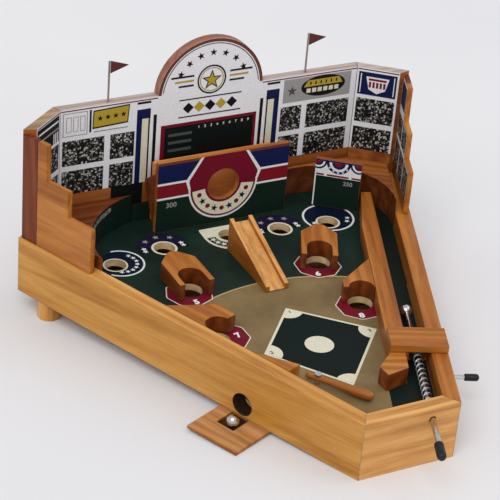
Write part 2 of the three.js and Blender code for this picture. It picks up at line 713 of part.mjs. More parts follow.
// A coil spring along +Y as one unbroken tube
function coil(length, diameter, wire, turns) {
  const mean = (diameter - wire) / 2;
  const steps = turns * SPRING_STEPS;
  const rings = Array.from({ length: steps + 1 }, (_, step) => {
    const angle = 2 * Math.PI * step / SPRING_STEPS;
    const rise = wire / 2 + (length - wire) * step / steps;
    const outward = new THREE.Vector3(Math.cos(angle), 0, Math.sin(angle));
    return Array.from({ length: SPRING_SIDES }, (_, side) => {
      const round = 2 * Math.PI * side / SPRING_SIDES;
      const point = outward.clone().multiplyScalar(mean + Math.cos(round) * wire / 2);
      return point.setY(rise + Math.sin(round) * wire / 2);
    });
  });
  const gaps = rings.slice(SPRING_STEPS).flatMap((ring, step) => ring.map(
    (point) => Math.min(...rings[step].map((other) => point.distanceTo(other))),
  ));
  console.log(`plunger spring: least gap between curls ${Math.min(...gaps).toFixed(2)} mm`);
  return tube(rings);
}

// A closed tube over rings of points
function tube(rings) {
  const sides = rings[0].length;
  const indices = [];
  for (let step = 0; step < rings.length - 1; step += 1) {
    for (let side = 0; side < sides; side += 1) {
      const a = step * sides + side;
      const b = step * sides + (side + 1) % sides;
      indices.push(a, b, a + sides, b, b + sides, a + sides);
    }
  }
  const last = (rings.length - 1) * sides;
  for (let side = 1; side < sides - 1; side += 1) {
    indices.push(0, side + 1, side, last, last + side, last + side + 1);
  }
  const geometry = new THREE.BufferGeometry();
  const positions = rings.flat().flatMap((point) => point.toArray());
  geometry.setAttribute('position', new THREE.Float32BufferAttribute(positions, 3));
  geometry.setIndex(indices);
  geometry.computeVertexNormals();
  return geometry;
}

// Bat on its pin; under the field the pin carries a crank with a peg in the push rod's yoke
const crankTop = fieldBottom - RUNNING;
const crankBottom = crankTop - CRANK_THICKNESS;

function bat() {
  const angle = radians(BAT_ANGLE);
  const direction = [Math.cos(angle), Math.sin(angle), 0];
  const height = FIELD_TOP + BAT_RAISE + BAT_BARREL / 2;
  const [x, y] = BAT_PIVOT;
  const butt = [x - direction[0] * BAT_BUTT, y - direction[1] * BAT_BUTT, height];
  const profile = BAT_SHARES.map(([radius, place]) => [radius * BAT_BARREL / 2, place * BAT_LENGTH]);
  const bore = bar([x, y, FIELD_TOP - OVERRUN], [x, y, height + OVERRUN], PIN_DIAMETER + 2 * GAP);
  add('bat', cut(turned(profile, butt, direction, ROUND), bore), wood);
  const head = height + BAT_BARREL / 2 * BAT_NECK_SHARE + GAP;
  const radius = PIN_DIAMETER / 2;
  const pin = [
    [0, crankBottom], [radius, crankBottom], [radius, head], [PIN_HEAD / 2, head],
    [PIN_HEAD / 2, head + PIN_HEAD_HEIGHT], [0, head + PIN_HEAD_HEIGHT],
  ];
  add('bat_pin', turned(pin, [x, y, 0], [0, 0, 1]), steel);
}

function crank() {
  const half = CRANK_WIDTH / 2;
  const outline = [
    ...arc(0, CRANK_ARM, half, 0, Math.PI, SHORT_ARC_STEPS),
    ...arc(0, 0, half, Math.PI, 2 * Math.PI, SHORT_ARC_STEPS),
  ];
  const plate = board(outline, crankBottom, crankTop, [[0, 0, PIN_DIAMETER + 2 * GAP]]);
  const pegBottom = ROD_HEIGHT - YOKE_THICKNESS / 2 - GAP;
  const peg = bar([0, CRANK_ARM, pegBottom], [0, CRANK_ARM, crankTop - GAP], PEG_DIAMETER);
  const rest = -flare - radians(BAT_SWING / 2);
  add('bat_crank', join(plate, peg).rotateZ(rest).translate(...BAT_PIVOT, 0), steel);
}

// Push rod square to the right wall, with a slotted yoke inside and a black end outside
function pushRod() {
  const half = radians(BAT_SWING / 2);
  const pivot = fromRightWall(BAT_PIVOT);
  const pegInset = pivot.inset - CRANK_ARM * Math.sin(half);
  const pegAlong = pivot.along + CRANK_ARM * (1 + Math.cos(half)) / 2;
  const slotHalf = PEG_DIAMETER / 2 + RUNNING;
  const slotReach = slotHalf + CRANK_ARM * (1 - Math.cos(half)) / 2;
  const low = ROD_HEIGHT - YOKE_THICKNESS / 2;
  const yokeHalf = YOKE_WIDTH / 2;
  const yoke = board(beside(rightPlace, pegAlong - slotReach - YOKE_WALL, ROD_PLACE + ROD_DIAMETER,
    pegInset - yokeHalf, pegInset + yokeHalf), low, low + YOKE_THICKNESS);
  const slot = board(beside(rightPlace, pegAlong - slotReach, pegAlong + slotReach,
    pegInset - slotHalf, pegInset + slotHalf), low - OVERRUN, low + OVERRUN);
  const rod = bar(rodLine(pegInset), rodLine(-ROD_OUT - ROD_KNOB_LENGTH * KNOB_SEAT_SHARE), ROD_DIAMETER);
  add('bat_rod', cut(join(yoke, rod), slot), steel);
  const bore = ROD_DIAMETER + 2 * GAP;
  add('bat_rod_knob', knob(rodLine(-ROD_OUT), outwards, ROD_KNOB, ROD_KNOB_LENGTH, bore), rubber);
  const collarEnd = WALL + GAP + ROD_COLLAR_LENGTH;
  const springEnd = collarEnd + GAP + ROD_SPRING_LENGTH;
  const guideFace = springEnd + GAP;
  const borer = bar(rodLine(0), rodLine(guideFace + OVERRUN), bore);
  const collar = bar(rodLine(WALL + GAP), rodLine(collarEnd), ROD_COLLAR);
  add('bat_rod_collar', cut(collar, borer), steel);
  const spring = bar(rodLine(collarEnd + GAP), rodLine(springEnd), ROD_COLLAR - 2 * GAP);
  add('bat_spring', cut(spring, borer), steel);
  const start = ROD_PLACE - ROD_GUIDE_WIDTH / 2;
  const guide = board(beside(rightPlace, start, start + ROD_GUIDE_WIDTH, guideFace,
    guideFace + ROD_GUIDE_LENGTH), ROD_HEIGHT - ROD_GUIDE_DROP, fieldBottom - GAP);
  add('bat_rod_guide', cut(guide, borer), plywood);
}

// Backdrop: arched back panel, wings, stepped side panels and corner posts
const polePlaces = [BACKDROP_MIDDLE - POLE_PLACE, BACKDROP_MIDDLE + POLE_PLACE];

function backdrop() {
  const bottom = WALL_HEIGHT + GAP;
  const panel = (side, top) => board(strip(side, panelOutside, panelInside), bottom, top);
  const back = panelOutside[BACK][1];
  const start = Math.asin((PANEL_TOP - ARCH_HEIGHT) / ARCH_RADIUS);
  const half = BACK_WIDTH / 2;
  const front = [
    [half, bottom - OVERRUN], [half, PANEL_TOP],
    ...arc(BACKDROP_MIDDLE, ARCH_HEIGHT, ARCH_RADIUS, start, Math.PI - start, 2 * ARC_STEPS),
    [-half, PANEL_TOP], [-half, bottom - OVERRUN],
  ];
  const arched = overlap(panel(BACK, ARCH_HEIGHT + 2 * ARCH_RADIUS),
    frontBoard(front, back - PANEL - OVERRUN, back + OVERRUN));
  const seats = polePlaces.map((x) => bar([x, back - PANEL / 2, PANEL_TOP - POLE_SEAT - GAP],
    [x, back - PANEL / 2, PANEL_TOP + OVERRUN], POLE_DIAMETER + 2 * GAP));
  add('back_panel', cut(arched, ...seats), panelPrint);
  add('wing_panel_right', panel(WING_RIGHT, PANEL_TOP), panelPrint);
  add('wing_panel_left', panel(WING_LEFT, PANEL_TOP), panelPrint);
  const far = PANEL_INSET + SIDE_PANEL;
  const postStart = SIDE_LENGTH - POST_LENGTH;
  const [, corner, inner] = strip(RIGHT, panelOutside, sidePanelInside);
  const post = [rightPlace(postStart, PANEL_INSET), corner, inner, rightPlace(postStart, far)];
  add('corner_post_right', board(post, bottom, SIDE_TOP), darkWood);
  add('corner_post_left', board(post.map(([x, y]) => [-x, y]), bottom, SIDE_TOP), darkWood);
  const right = sideBoard(steppedOutline(bottom, postStart - GAP), -far, -PANEL_INSET);
  add('side_panel_right', right.rotateZ(-flare).translate(frontHalf, 0, 0), wood);
  const left = sideBoard(steppedOutline(bottom, postStart - GAP), PANEL_INSET, far);
  add('side_panel_left', left.rotateZ(flare).translate(-frontHalf, 0, 0), wood);
}

// A side panel seen from the side: it rises in three steps to the corner post
function steppedOutline(bottom, end) {
  const [low, middle, high] = STEP_SHORTS.map((short) => SIDE_LENGTH - short);
  const [lowTop, middleTop] = STEP_HEIGHTS;
  return [
    [low, bottom], [end, bottom], [end, SIDE_TOP], [high, SIDE_TOP], [high, middleTop],
    [middle, middleTop], [middle, lowTop], [low, lowTop],
  ];
}

function pennants() {
  const y = panelOutside[BACK][1] - PANEL / 2;
  const top = PANEL_TOP + POLE_RISE;
  for (const [side, x] of [['left', polePlaces[0]], ['right', polePlaces[1]]]) {
    add(`pennant_pole_${side}`, bar([x, y, PANEL_TOP - POLE_SEAT], [x, y, top], POLE_DIAMETER), darkWood);
    const hoist = x + POLE_DIAMETER / 2 + GAP;
    const outline = [[hoist, top - FLAG_DROP], [hoist + FLAG_LENGTH, top - FLAG_DROP / 2], [hoist, top]];
    add(`pennant_flag_${side}`, frontBoard(outline, y - FLAG_SHEET / 2, y + FLAG_SHEET / 2), maroon);
  }
}

// Steel balls: one in the lane before the plunger, one in the tray's recess
function balls() {
  const radius = BALL / 2;
  const ball = () => new THREE.IcosahedronGeometry(radius, BALL_FINENESS);
  const lanePlace = rightPlace(PLUNGER_TIP + radius + GAP, laneMiddle);
  add('lane_ball', ball().translate(...lanePlace, standing + radius), steel);
  const along = RETURN_PLACE - RECESS_WIDTH / 2 + radius + GAP;
  const trayPlace = leftPlace(along, radius + GAP - RECESS_OUT);
  add('tray_ball', ball().translate(...trayPlace, radius - RECESS_DEPTH), steel);
}

baseWalls();
playfield();
boxInside();
feet();
tray();
lane();
cornerGuides();
outfield();
ramp();
pocketBlocks();
wallRail();
plunger();
bat();
crank();
pushRod();
backdrop();
pennants();
balls();

// The origin is the middle of the footprint, on the surface that the game stands on
const placed = new THREE.Group();
placed.add(game);
placed.updateMatrixWorld(true);
const bounds = new THREE.Box3().setFromObject(placed, true);
const middle = bounds.getCenter(new THREE.Vector3());
placed.position.set(-middle.x, -middle.y, -bounds.min.z);
placed.updateMatrixWorld(true);

export default placed;
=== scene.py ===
"""Looks of a wooden tabletop pinball game with a baseball field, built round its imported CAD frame."""
import math

import bpy
from mathutils import Matrix, Vector


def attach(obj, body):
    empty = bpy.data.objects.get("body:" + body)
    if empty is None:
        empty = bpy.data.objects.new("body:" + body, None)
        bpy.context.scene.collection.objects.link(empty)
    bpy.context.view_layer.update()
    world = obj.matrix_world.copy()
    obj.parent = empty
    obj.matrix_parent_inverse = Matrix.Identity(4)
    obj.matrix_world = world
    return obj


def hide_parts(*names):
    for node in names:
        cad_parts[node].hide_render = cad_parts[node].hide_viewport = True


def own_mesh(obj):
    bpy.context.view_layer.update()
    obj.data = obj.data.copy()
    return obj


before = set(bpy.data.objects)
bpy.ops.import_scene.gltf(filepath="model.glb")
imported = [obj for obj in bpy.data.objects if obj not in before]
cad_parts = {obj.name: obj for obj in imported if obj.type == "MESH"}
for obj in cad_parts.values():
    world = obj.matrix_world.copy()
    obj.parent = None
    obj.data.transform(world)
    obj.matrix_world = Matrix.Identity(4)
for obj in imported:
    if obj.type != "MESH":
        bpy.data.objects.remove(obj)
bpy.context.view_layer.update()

# The box frame of the CAD source: millimetres, before the box is tilted on its feet
FLARE = math.radians(23.08)
TILT = math.atan2(12, 228 * math.cos(FLARE))
PLACE = Matrix.Translation((0, -0.108325, -0.0003)) @ Matrix.Rotation(TILT, 4, "X")
SIDE = Vector((math.sin(FLARE), math.cos(FLARE), 0))
OUT = Vector((math.cos(FLARE), -math.sin(FLARE), 0))
UP = Vector((0, 0, 1))
FIELD = 24
BASE = "game_base"

# Sizes of the CAD source that the finer pieces and the prints follow, in millimetres
WALL = 9.0
WALL_TOP = 34.5
FRONT_HALF = 28.2
LANE_MIDDLE = 15.0
PLUNGER_HEIGHT = FIELD + 4.2
PLUNGER_TIP = 91.6
COLLAR_PLACE = 49.9
ROD_PLACE = 50.0
ROD_HEIGHT = 15.6
BAT_PIVOT = (-25, 54)
BAT_REST = -54.0
BALL_RADIUS = 3.5
RETURN_PLACE = 77.7
RETURN_RADIUS = 6.5
RETURN_HEIGHT = 7.0
BACK_FACE = 241.5
PRINT_FOOT = 48.4
PANEL_TOP = 103.0
ARCH_MIDDLE = -2.2
ARCH_RADIUS = 33.6
OUTFIELD_FACE = 222.0
OUTFIELD_TURN = -37.7

# Height of one layer of print
LAYER = 0.05


def spot(point):
    """A point of the box frame, in metres of the row frame."""
    return PLACE @ (Vector(point) * 0.001)


def heading(direction):
    """A direction of the box frame, as a unit vector of the row frame."""
    return (PLACE.to_3x3() @ Vector(direction)).normalized()


def right_place(along, inset, height=0.0):
    """A place along the outside of the right wall, so far inside it and so high."""
    return Vector((FRONT_HALF, 0, height)) + SIDE * along - OUT * inset


def mirrored(point):
    """The same point or direction on the left side."""
    return Vector((-point[0], point[1], point[2]))


def on_circle(centre, radius, degrees):
    a = math.radians(degrees)
    return (centre[0] + radius * math.cos(a), centre[1] + radius * math.sin(a))


# Materials
def linear(rgb):
    """A screen colour of 0 to 255 as a linear colour."""
    values = (v / 255 for v in rgb)
    return tuple(c / 12.92 if c <= 0.04045 else ((c + 0.055) / 1.055) ** 2.4 for c in values) + (1,)


def shaded(rgb, share):
    return tuple(v * share for v in rgb)


class Material:
    """A node material: small helpers round the node tree."""

    def __init__(self, name):
        self.made = bpy.data.materials.new(name)
        self.made.use_nodes = True
        self.nodes = self.made.node_tree.nodes
        self.links = self.made.node_tree.links
        self.shader = self.nodes["Principled BSDF"]

    def node(self, kind, **inputs):
        made = self.nodes.new("ShaderNode" + kind)
        for name, value in inputs.items():
            self.feed(made.inputs[name.replace("_", " ")], value)
        return made

    def feed(self, socket, value):
        if isinstance(value, bpy.types.NodeSocket):
            self.links.new(value, socket)
        else:
            socket.default_value = value

    def coords(self, turn=0.0, tip=0.0, stretch=1.0, seed=0.0):
        """Place on the object, shifted by a seed, turned, tipped and stretched along X."""
        source = self.node("TexCoord").outputs["Object"]
        shift = (seed, seed * 0.7, seed * 1.3)
        scale = (stretch, 1, 1)
        place = self.node("Mapping", Vector=source, Location=shift, Rotation=(0, tip, turn), Scale=scale)
        place.vector_type = "TEXTURE"
        return place.outputs[0]

    def noise(self, vector, scale, detail=3.0, roughness=0.5, distortion=0.0):
        made = self.node("TexNoise", Vector=vector, Scale=scale, Detail=detail, Roughness=roughness)
        made.inputs["Distortion"].default_value = distortion
        return made.outputs["Fac"]

    def math(self, operation, *values):
        made = self.nodes.new("ShaderNodeMath")
        made.operation = operation
        for socket, value in zip(made.inputs, values):
            self.feed(socket, value)
        return made.outputs[0]

    def vector(self, operation, first, second=None):
        made = self.nodes.new("ShaderNodeVectorMath")
        made.operation = operation
        self.feed(made.inputs[0], first)
        if second is not None:
            made.inputs[1].default_value = second
        return made

    def ramp(self, value, stops, sharp=False):
        made = self.node("ValToRGB", Fac=value)
        made.color_ramp.interpolation = "CONSTANT" if sharp else "LINEAR"
        elements = made.color_ramp.elements
        while len(elements) < len(stops):
            elements.new(0.5)
        for element, (place, rgb) in zip(elements, stops):
            element.position = place
            element.color = linear(rgb)
        return made.outputs["Color"]

    def mix(self, share, first, second):
        """One colour laid over another; a plain one is given as 0 to 255."""
        made = self.nodes.new("ShaderNodeMix")
        made.data_type = "RGBA"
        self.feed(made.inputs[0], share)
        self.feed(made.inputs[6], linear(first) if isinstance(first, tuple) else first)
        self.feed(made.inputs[7], linear(second) if isinstance(second, tuple) else second)
        return made.outputs[2]

    def finish(self, colour, roughness, bump=None, strength=0.1, distance=0.0003, edge=0.0005, **values):
        """Colour, roughness, slightly rounded edges and a fine relief; other sockets by their name."""
        self.feed(self.shader.inputs["Base Color"], colour)
        self.feed(self.shader.inputs["Roughness"], roughness)
        for name, value in values.items():
            self.feed(self.shader.inputs[name.replace("_", " ")], value)
        normal = self.node("Bevel", Radius=edge)
        normal.samples = 4
        normal = normal.outputs[0]
        if bump is not None:
            made = self.node("Bump", Height=bump, Strength=strength, Distance=distance, Normal=normal)
            normal = made.outputs[0]
        self.feed(self.shader.inputs["Normal"], normal)
        return self.made

    def facing(self, direction, least):
        """One where the surface faces a direction of the box frame, else nought."""
        normal = self.node("NewGeometry").outputs["True Normal"]
        dot = self.vector("DOT_PRODUCT", normal, heading(direction))
        return self.math("GREATER_THAN", dot.outputs["Value"], least)

    def level(self):
        """One on faces that are level in the box frame, else nought."""
        return self.facing(UP, 0.985)

    def above(self, height):
        """One where the surface lies above a height of the box frame, else nought."""
        place = self.node("TexCoord").outputs["Object"]
        dot = self.vector("DOT_PRODUCT", place, heading(UP))
        return self.math("GREATER_THAN", dot.outputs["Value"], heading(UP).dot(spot((0, 0, height))))

    def within(self, centre, direction, radius):
        """One where the surface lies in a round hole of the box frame, else nought."""
        place = self.node("TexCoord").outputs["Object"]
        offset = self.vector("SUBTRACT", place, spot(centre))
        across = self.vector("CROSS_PRODUCT", offset.outputs["Vector"], heading(direction))
        size = self.vector("LENGTH", across.outputs["Vector"])
        return self.math("LESS_THAN", size.outputs["Value"], (radius + 0.12) * 0.001)

    def grain(self, tones, turn=0.0, tip=0.0, seed=0.0):
        """Colour of planed wood and the height of its fibres; the grain runs along X, turned and tipped."""
        place = self.coords(turn, tip, 14.0, seed)
        broad = self.noise(place, 80.0, 4.0, 0.55, 0.8)
        streaks = self.noise(place, 260.0, 3.0, 0.6, 0.4)
        fine = self.noise(place, 900.0, 3.0, 0.65)
        rings = self.node("TexWave", Vector=place, Scale=48.0, Distortion=7.0, Detail=3.0, Detail_Scale=1.6)
        rings.bands_direction = "Y"
        total = 0.0
        for part, share in ((broad, 0.44), (streaks, 0.24), (rings.outputs["Fac"], 0.12), (fine, 0.2)):
            total = self.math("MULTIPLY_ADD", part, share, total)
        dark, middle, light = tones
        return self.ramp(total, [(0.35, dark), (0.5, middle), (0.66, light)]), fine


# Tones of wood: dark, middle and light
HONEY = ((166, 105, 44), (202, 143, 72), (224, 170, 98))
GOLD = ((152, 94, 30), (187, 129, 54), (212, 158, 82))
LIGHT = ((172, 114, 54), (212, 153, 86), (232, 180, 112))
# Lighter, more saturated orange that paints orange bounce light on the shaded home-run backstop
BOUNCE_LIT = ((186, 100, 48), (220, 128, 66), (236, 160, 98))
ORANGE = ((134, 74, 22), (168, 100, 36), (194, 128, 58))
AMBER = ((120, 62, 24), (156, 88, 38), (184, 116, 56))
BROWN = ((80, 34, 10), (112, 53, 19), (140, 75, 34))
POST = ((80, 28, 4), (108, 42, 7), (134, 62, 18))
POLE = ((112, 98, 92), (140, 126, 120), (160, 148, 142))
TAN = ((112, 84, 58), (150, 120, 90), (178, 150, 120))
ROSE = ((122, 74, 56), (152, 98, 76), (176, 124, 102))
CHALK = ((148, 126, 116), (180, 162, 154), (204, 190, 182))
DARK = ((66, 32, 16), (94, 48, 24), (122, 68, 36))
# Painted shade: dark wood for a recess, a hole and a hidden top that lie in shadow
SHADED = ((30, 19, 13), (54, 36, 25), (78, 54, 38))
TRAY = ((150, 98, 56), (186, 130, 80), (208, 158, 106))
PALE = ((196, 160, 112), (219, 188, 142), (233, 207, 166))


# Kinds of material
def wood(name, tones, seed, turn=0.0, tip=0.0, roughness=0.4, top=None, low=None, shaded_hole=None):
    """Varnished wood. Its upper faces may take a lighter wood than its sides, which paints light on the
    tops and shade on the sides; low upper faces and a hole may be painted in shade.
    """
    made = Material(name)
    grain = {"turn": turn, "tip": tip, "seed": seed}
    colour, fibre = made.grain(tones, **grain)
    if top:
        # Painted light and shade: the upper faces take the top wood, lighter than the sides
        colour = made.mix(made.facing(UP, 0.7), colour, made.grain(top, **grain)[0])
    if low:
        # Painted shade: low upper faces, such as the tray's recess floor, take the SHADED wood
        below = made.math("SUBTRACT", 1.0, made.above(low))
        share = made.math("MULTIPLY", made.facing(UP, 0.7), below)
        colour = made.mix(share, colour, made.grain(SHADED, **grain)[0])
    if shaded_hole:
        # Painted shade inside the hole
        colour = made.mix(made.within(*shaded_hole), colour, made.grain(SHADED, **grain)[0])
    spread = made.math("ADD", made.math("MULTIPLY", fibre, 0.16), roughness - 0.08)
    varnish = {"Specular_IOR_Level": 0.26, "Coat_Weight": 0.04, "Coat_Roughness": 0.36}
    return made.finish(colour, spread, fibre, 0.12, **varnish)


def printed(name, rgb):
    """Printed paper: one ink with a fine screen, slight patches and a satin surface."""
    made = Material(name)
    place = made.coords()
    screen = made.noise(place, 2600.0, 2.0, 0.6)
    patch = made.noise(place, 60.0, 3.0)
    bright = tuple(min(255, v * 1.06 + 3) for v in rgb)
    colour = made.ramp(screen, [(0.3, shaded(rgb, 0.86)), (0.55, rgb), (0.8, bright)])
    colour = made.mix(made.math("MULTIPLY", patch, 0.14), colour, shaded(rgb, 0.7))
    return made.finish(colour, 0.5, screen, 0.05, 0.0001, Specular_IOR_Level=0.14)


def crowd(name):
    """Speckled dark and light print, like a crowd seen from far off."""
    made = Material(name)
    place = made.coords()
    heads = made.node("TexVoronoi", Vector=place, Scale=800.0, Randomness=1.0)
    near = made.math("LESS_THAN", heads.outputs["Distance"], 0.56)
    split = made.node("SeparateColor", Color=heads.outputs["Color"])
    coats = [(0.0, (14, 14, 16)), (0.4, (84, 82, 80)), (0.56, (190, 188, 182)), (0.84, (116, 112, 106))]
    tone = made.ramp(split.outputs[0], coats, True)
    fine = made.noise(place, 1300.0, 2.0, 0.6)
    colour = made.mix(near, (15, 15, 17), tone)
    colour = made.mix(made.math("GREATER_THAN", fine, 0.57), colour, (18, 18, 20))
    return made.finish(colour, 0.5, fine, 0.05, 0.0001, Specular_IOR_Level=0.2)


def marbled(name):
    """Grey print with small dark marks."""
    made = Material(name)
    marks = made.noise(made.coords(), 900.0, 2.0, 0.6)
    colour = made.ramp(marks, [(0.42, (52, 52, 54)), (0.5, (132, 130, 128)), (0.62, (170, 168, 164))])
    return made.finish(colour, 0.5, marks, 0.05, 0.0001, Specular_IOR_Level=0.2)


def metal(name, rgb, roughness, lines=0.0):
    """Bright metal with fine scratches."""
    made = Material(name)
    scratch = made.noise(made.coords(), 900.0, 4.0, 0.7)
    worn = made.math("ADD", made.math("MULTIPLY", scratch, 0.14 + lines), roughness)
    colour = made.ramp(scratch, [(0.25, shaded(rgb, 0.9)), (0.7, rgb)])
    return made.finish(colour, worn, scratch, 0.04, 0.0001, 0.0002, Metallic=1.0)


def rubber(name):
    """Black rubber with a slight grit."""
    made = Material(name)
    grit = made.noise(made.coords(), 3200.0, 3.0, 0.6)
    colour = made.ramp(grit, [(0.3, (9, 9, 11)), (0.75, (25, 25, 28))])
    return made.finish(colour, 0.46, grit, 0.2, 0.0001, 0.0003, Specular_IOR_Level=0.35)


def field_material():
    """The playfield's print: dark outfield, tan infield with a pale edge; its cut sides are bare board."""
    made = Material("playfield_print")
    place = made.coords()
    middle = made.vector("DISTANCE", place, spot((-6.2, 44.5, FIELD)))
    away = middle.outputs["Value"]
    patch = made.noise(place, 38.0, 5.0, 0.6)
    screen = made.noise(place, 2400.0, 2.0, 0.6)
    grass = made.ramp(patch, [(0.3, (10, 28, 23)), (0.55, (17, 41, 33)), (0.78, (25, 54, 41))])
    earth = made.ramp(patch, [(0.3, (112, 92, 60)), (0.55, (130, 108, 72)), (0.75, (147, 125, 86))])
    line = made.mix(made.math("LESS_THAN", away, 0.1086), grass, (176, 160, 112))
    colour = made.mix(made.math("LESS_THAN", away, 0.1076), line, earth)
    colour = made.mix(made.math("MULTIPLY", screen, 0.08), colour, (40, 42, 34))
    board, fibre = made.grain(PALE)
    colour = made.mix(made.facing(UP, 0.7), board, colour)
    return made.finish(colour, 0.48, screen, 0.05, 0.0001, 0.0002, Specular_IOR_Level=0.22)


def faced(name, direction, front, tones, seed, least=0.8, foot=None, top=None, rim=None):
    """A wooden board with a print on the face that looks in one direction, perhaps only above its foot."""
    made = Material(name)
    colour, fibre = made.grain(tones, seed=seed)
    if top:
        colour = made.mix(made.level(), colour, made.grain(top, seed=seed)[0])
    if rim:
        colour = made.mix(made.above(PANEL_TOP + 0.3), colour, made.grain(rim, seed=seed)[0])
    screen = made.noise(made.coords(), 2400.0, 2.0, 0.6)
    face = made.ramp(screen, [(0.3, shaded(front, 0.9)), (0.6, front)])
    share = made.facing(direction, least)
    if foot:
        share = made.math("MULTIPLY", share, made.above(foot))
    colour = made.mix(share, colour, face)
    return made.finish(colour, 0.46, fibre, 0.08, Specular_IOR_Level=0.3)


# Directions of the grain, and faces of their own
SQUARE = math.pi / 2
ALONG_RIGHT = SQUARE - FLARE
ALONG_LEFT = SQUARE + FLARE
# The ball return's hole through the left wall; its bore is painted in shade
RETURN_HOLE = (mirrored(right_place(RETURN_PLACE, 0, RETURN_HEIGHT)), mirrored(OUT), RETURN_RADIUS)
WHITE_PRINT = (238, 238, 242)
WING_FACE = (-0.631, -0.776, 0)

# Inks of the prints
INKS = {
    "white": (238, 238, 240),
    "cream": (226, 222, 198),
    "navy": (14, 26, 76),
    "violet": (27, 22, 52),
    "maroon": (116, 14, 38),
    "red": (128, 20, 34),
    "green": (5, 23, 21),
    "pine": (16, 36, 28),
    "deep": (10, 20, 44),
    "black": (16, 17, 19),
    "grey": (158, 158, 156),
    "gold": (186, 158, 52),
    "slate": (78, 84, 80),
    "rim": (112, 56, 42),
    "floor": (16, 28, 24),
    # Painted shadow, laid on the back panel's bare foot
    "painted_shade": (14, 20, 20),
}
inks = {ink: printed("print_" + ink, rgb) for ink, rgb in INKS.items()}
inks["crowd"] = crowd("print_crowd")
inks["crowd_pale"] = marbled("print_marbled")
steel = metal("polished_steel", (214, 216, 220), 0.1)
wire = metal("spring_wire", (206, 208, 212), 0.32, 0.1)
black_rubber = rubber("black_rubber")

# What each CAD node is made of; the rest is steel
# Where a top wood is given, the tops are painted lighter and the sides darker, as light and shade
looks = {
    "front_wall": wood("wood_front", LIGHT, 0.31),
    "right_wall": wood("wood_right", ORANGE, 0.53, ALONG_RIGHT),
    # Painted shade in the ball return's bore
    "left_wall": wood("wood_left", GOLD, 0.17, ALONG_LEFT, top=HONEY, shaded_hole=RETURN_HOLE),
    "right_wing_wall": wood("wood_right_wing", HONEY, 0.77, math.radians(142)),
    "left_wing_wall": wood("wood_left_wing", HONEY, 0.91, math.radians(38)),
    # Painted shade: the back wall's top, seen between the left guide and the bracket, takes the SHADED wood
    "back_wall": faced("wood_back", (0, -1, 0), (16, 36, 29), HONEY, 1.13, top=SHADED),
    "foot_left": wood("wood_foot_left", HONEY, 1.3, tip=SQUARE),
    "foot_right": wood("wood_foot_right", HONEY, 1.5, tip=SQUARE),
    # Painted shade on the tray: sides darker than its rim, and its recess floor below -0.6 mm in the SHADED
    # wood
    "ball_tray": wood("wood_tray", ORANGE, 1.7, ALONG_LEFT, top=TRAY, low=-0.6),
    "lane_divider": wood("wood_divider", AMBER, 1.9, ALONG_RIGHT, top=ORANGE),
    "plunger_bridge": wood("wood_bridge", ORANGE, 2.1, -FLARE),
    "plunger_guide": wood("wood_guide", AMBER, 2.3, -FLARE),
    "plunger_side_block": wood("wood_side_block", BROWN, 2.5, -FLARE, top=ORANGE),
    # Painted shade: the hollow face takes a dark wood, under a lighter top
    "corner_guide_right": wood("wood_corner_right", DARK, 2.7, -0.6, top=AMBER),
    "corner_guide_left": faced("wood_corner_left", (0.7, -0.7, 0), (15, 36, 29), BROWN, 2.9, 0.2),
    "outfield_wall_center": wood("wood_outfield", AMBER, 3.1, top=ORANGE),
    "outfield_bracket_left": wood("wood_bracket_left", BROWN, 3.3, ALONG_RIGHT),
    "outfield_bracket_right": wood("wood_bracket_right", BROWN, 3.5, ALONG_RIGHT),
    # Painted bounce light: the backstop lies in shadow and takes a lighter orange wood
    "home_run_backstop": wood("wood_backstop", BOUNCE_LIT, 3.7),
    "outfield_wall_right": wood("wood_outfield_right", AMBER, 3.9, math.radians(OUTFIELD_TURN)),
    "home_run_ramp": wood("wood_ramp", ORANGE, 4.1, SQUARE, top=LIGHT),
    "pocket_block_1": wood("wood_pocket_1", BROWN, 4.3, SQUARE, top=ORANGE),
    "pocket_block_2": wood("wood_pocket_2", BROWN, 4.5, ALONG_RIGHT, top=ORANGE),
    "pocket_block_3": wood("wood_pocket_3", BROWN, 4.7, ALONG_RIGHT, top=ORANGE),
    "pocket_block_4": wood("wood_pocket_4", BROWN, 4.9, ALONG_LEFT, top=ORANGE),
    "wall_rail": wood("wood_rail", ORANGE, 5.1, ALONG_LEFT),
    "bat": wood("wood_bat", ORANGE, 5.3, math.radians(BAT_REST)),
    "corner_post_right": wood("wood_post_right", POST, 5.5, tip=SQUARE),
    "corner_post_left": wood("wood_post_left", POST, 5.7, tip=SQUARE),
    "side_panel_right": wood("wood_side_right", ORANGE, 5.9, ALONG_RIGHT),
    "side_panel_left": wood("wood_side_left", ORANGE, 6.1, ALONG_LEFT),
    "back_panel": faced(
        "board_back", (0, -1, 0), WHITE_PRINT, AMBER, 6.3, foot=PRINT_FOOT, top=CHALK, rim=ROSE,
    ),
    "wing_panel_right": faced(
        "board_wing_right", WING_FACE, WHITE_PRINT, AMBER, 6.5, foot=PRINT_FOOT, top=CHALK,
    ),
    "wing_panel_left": faced(
        "board_wing_left", mirrored(WING_FACE), WHITE_PRINT, AMBER, 6.7, foot=PRINT_FOOT, top=TAN,
    ),
    "playfield": field_material(),
    "pennant_pole_left": wood("wood_pole", POLE, 7.1, tip=SQUARE),
    "pennant_flag_left": printed("pennant_left", (98, 48, 46)),
    "pennant_flag_right": printed("pennant_right", (98, 48, 46)),
    "bat_rod_knob": black_rubber,
    "plunger_knob": black_rubber,
}
looks["pennant_pole_right"] = looks["pennant_pole_left"]
pale = wood("wood_plywood", PALE, 6.9, roughness=0.55)
for node in ("bottom_board", "right_cleat", "left_cleat", "return_wedge", "bat_rod_guide"):
    looks[node] = pale
for node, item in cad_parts.items():
    for material_slot in item.material_slots:
        material_slot.material = looks.get(node, steel)


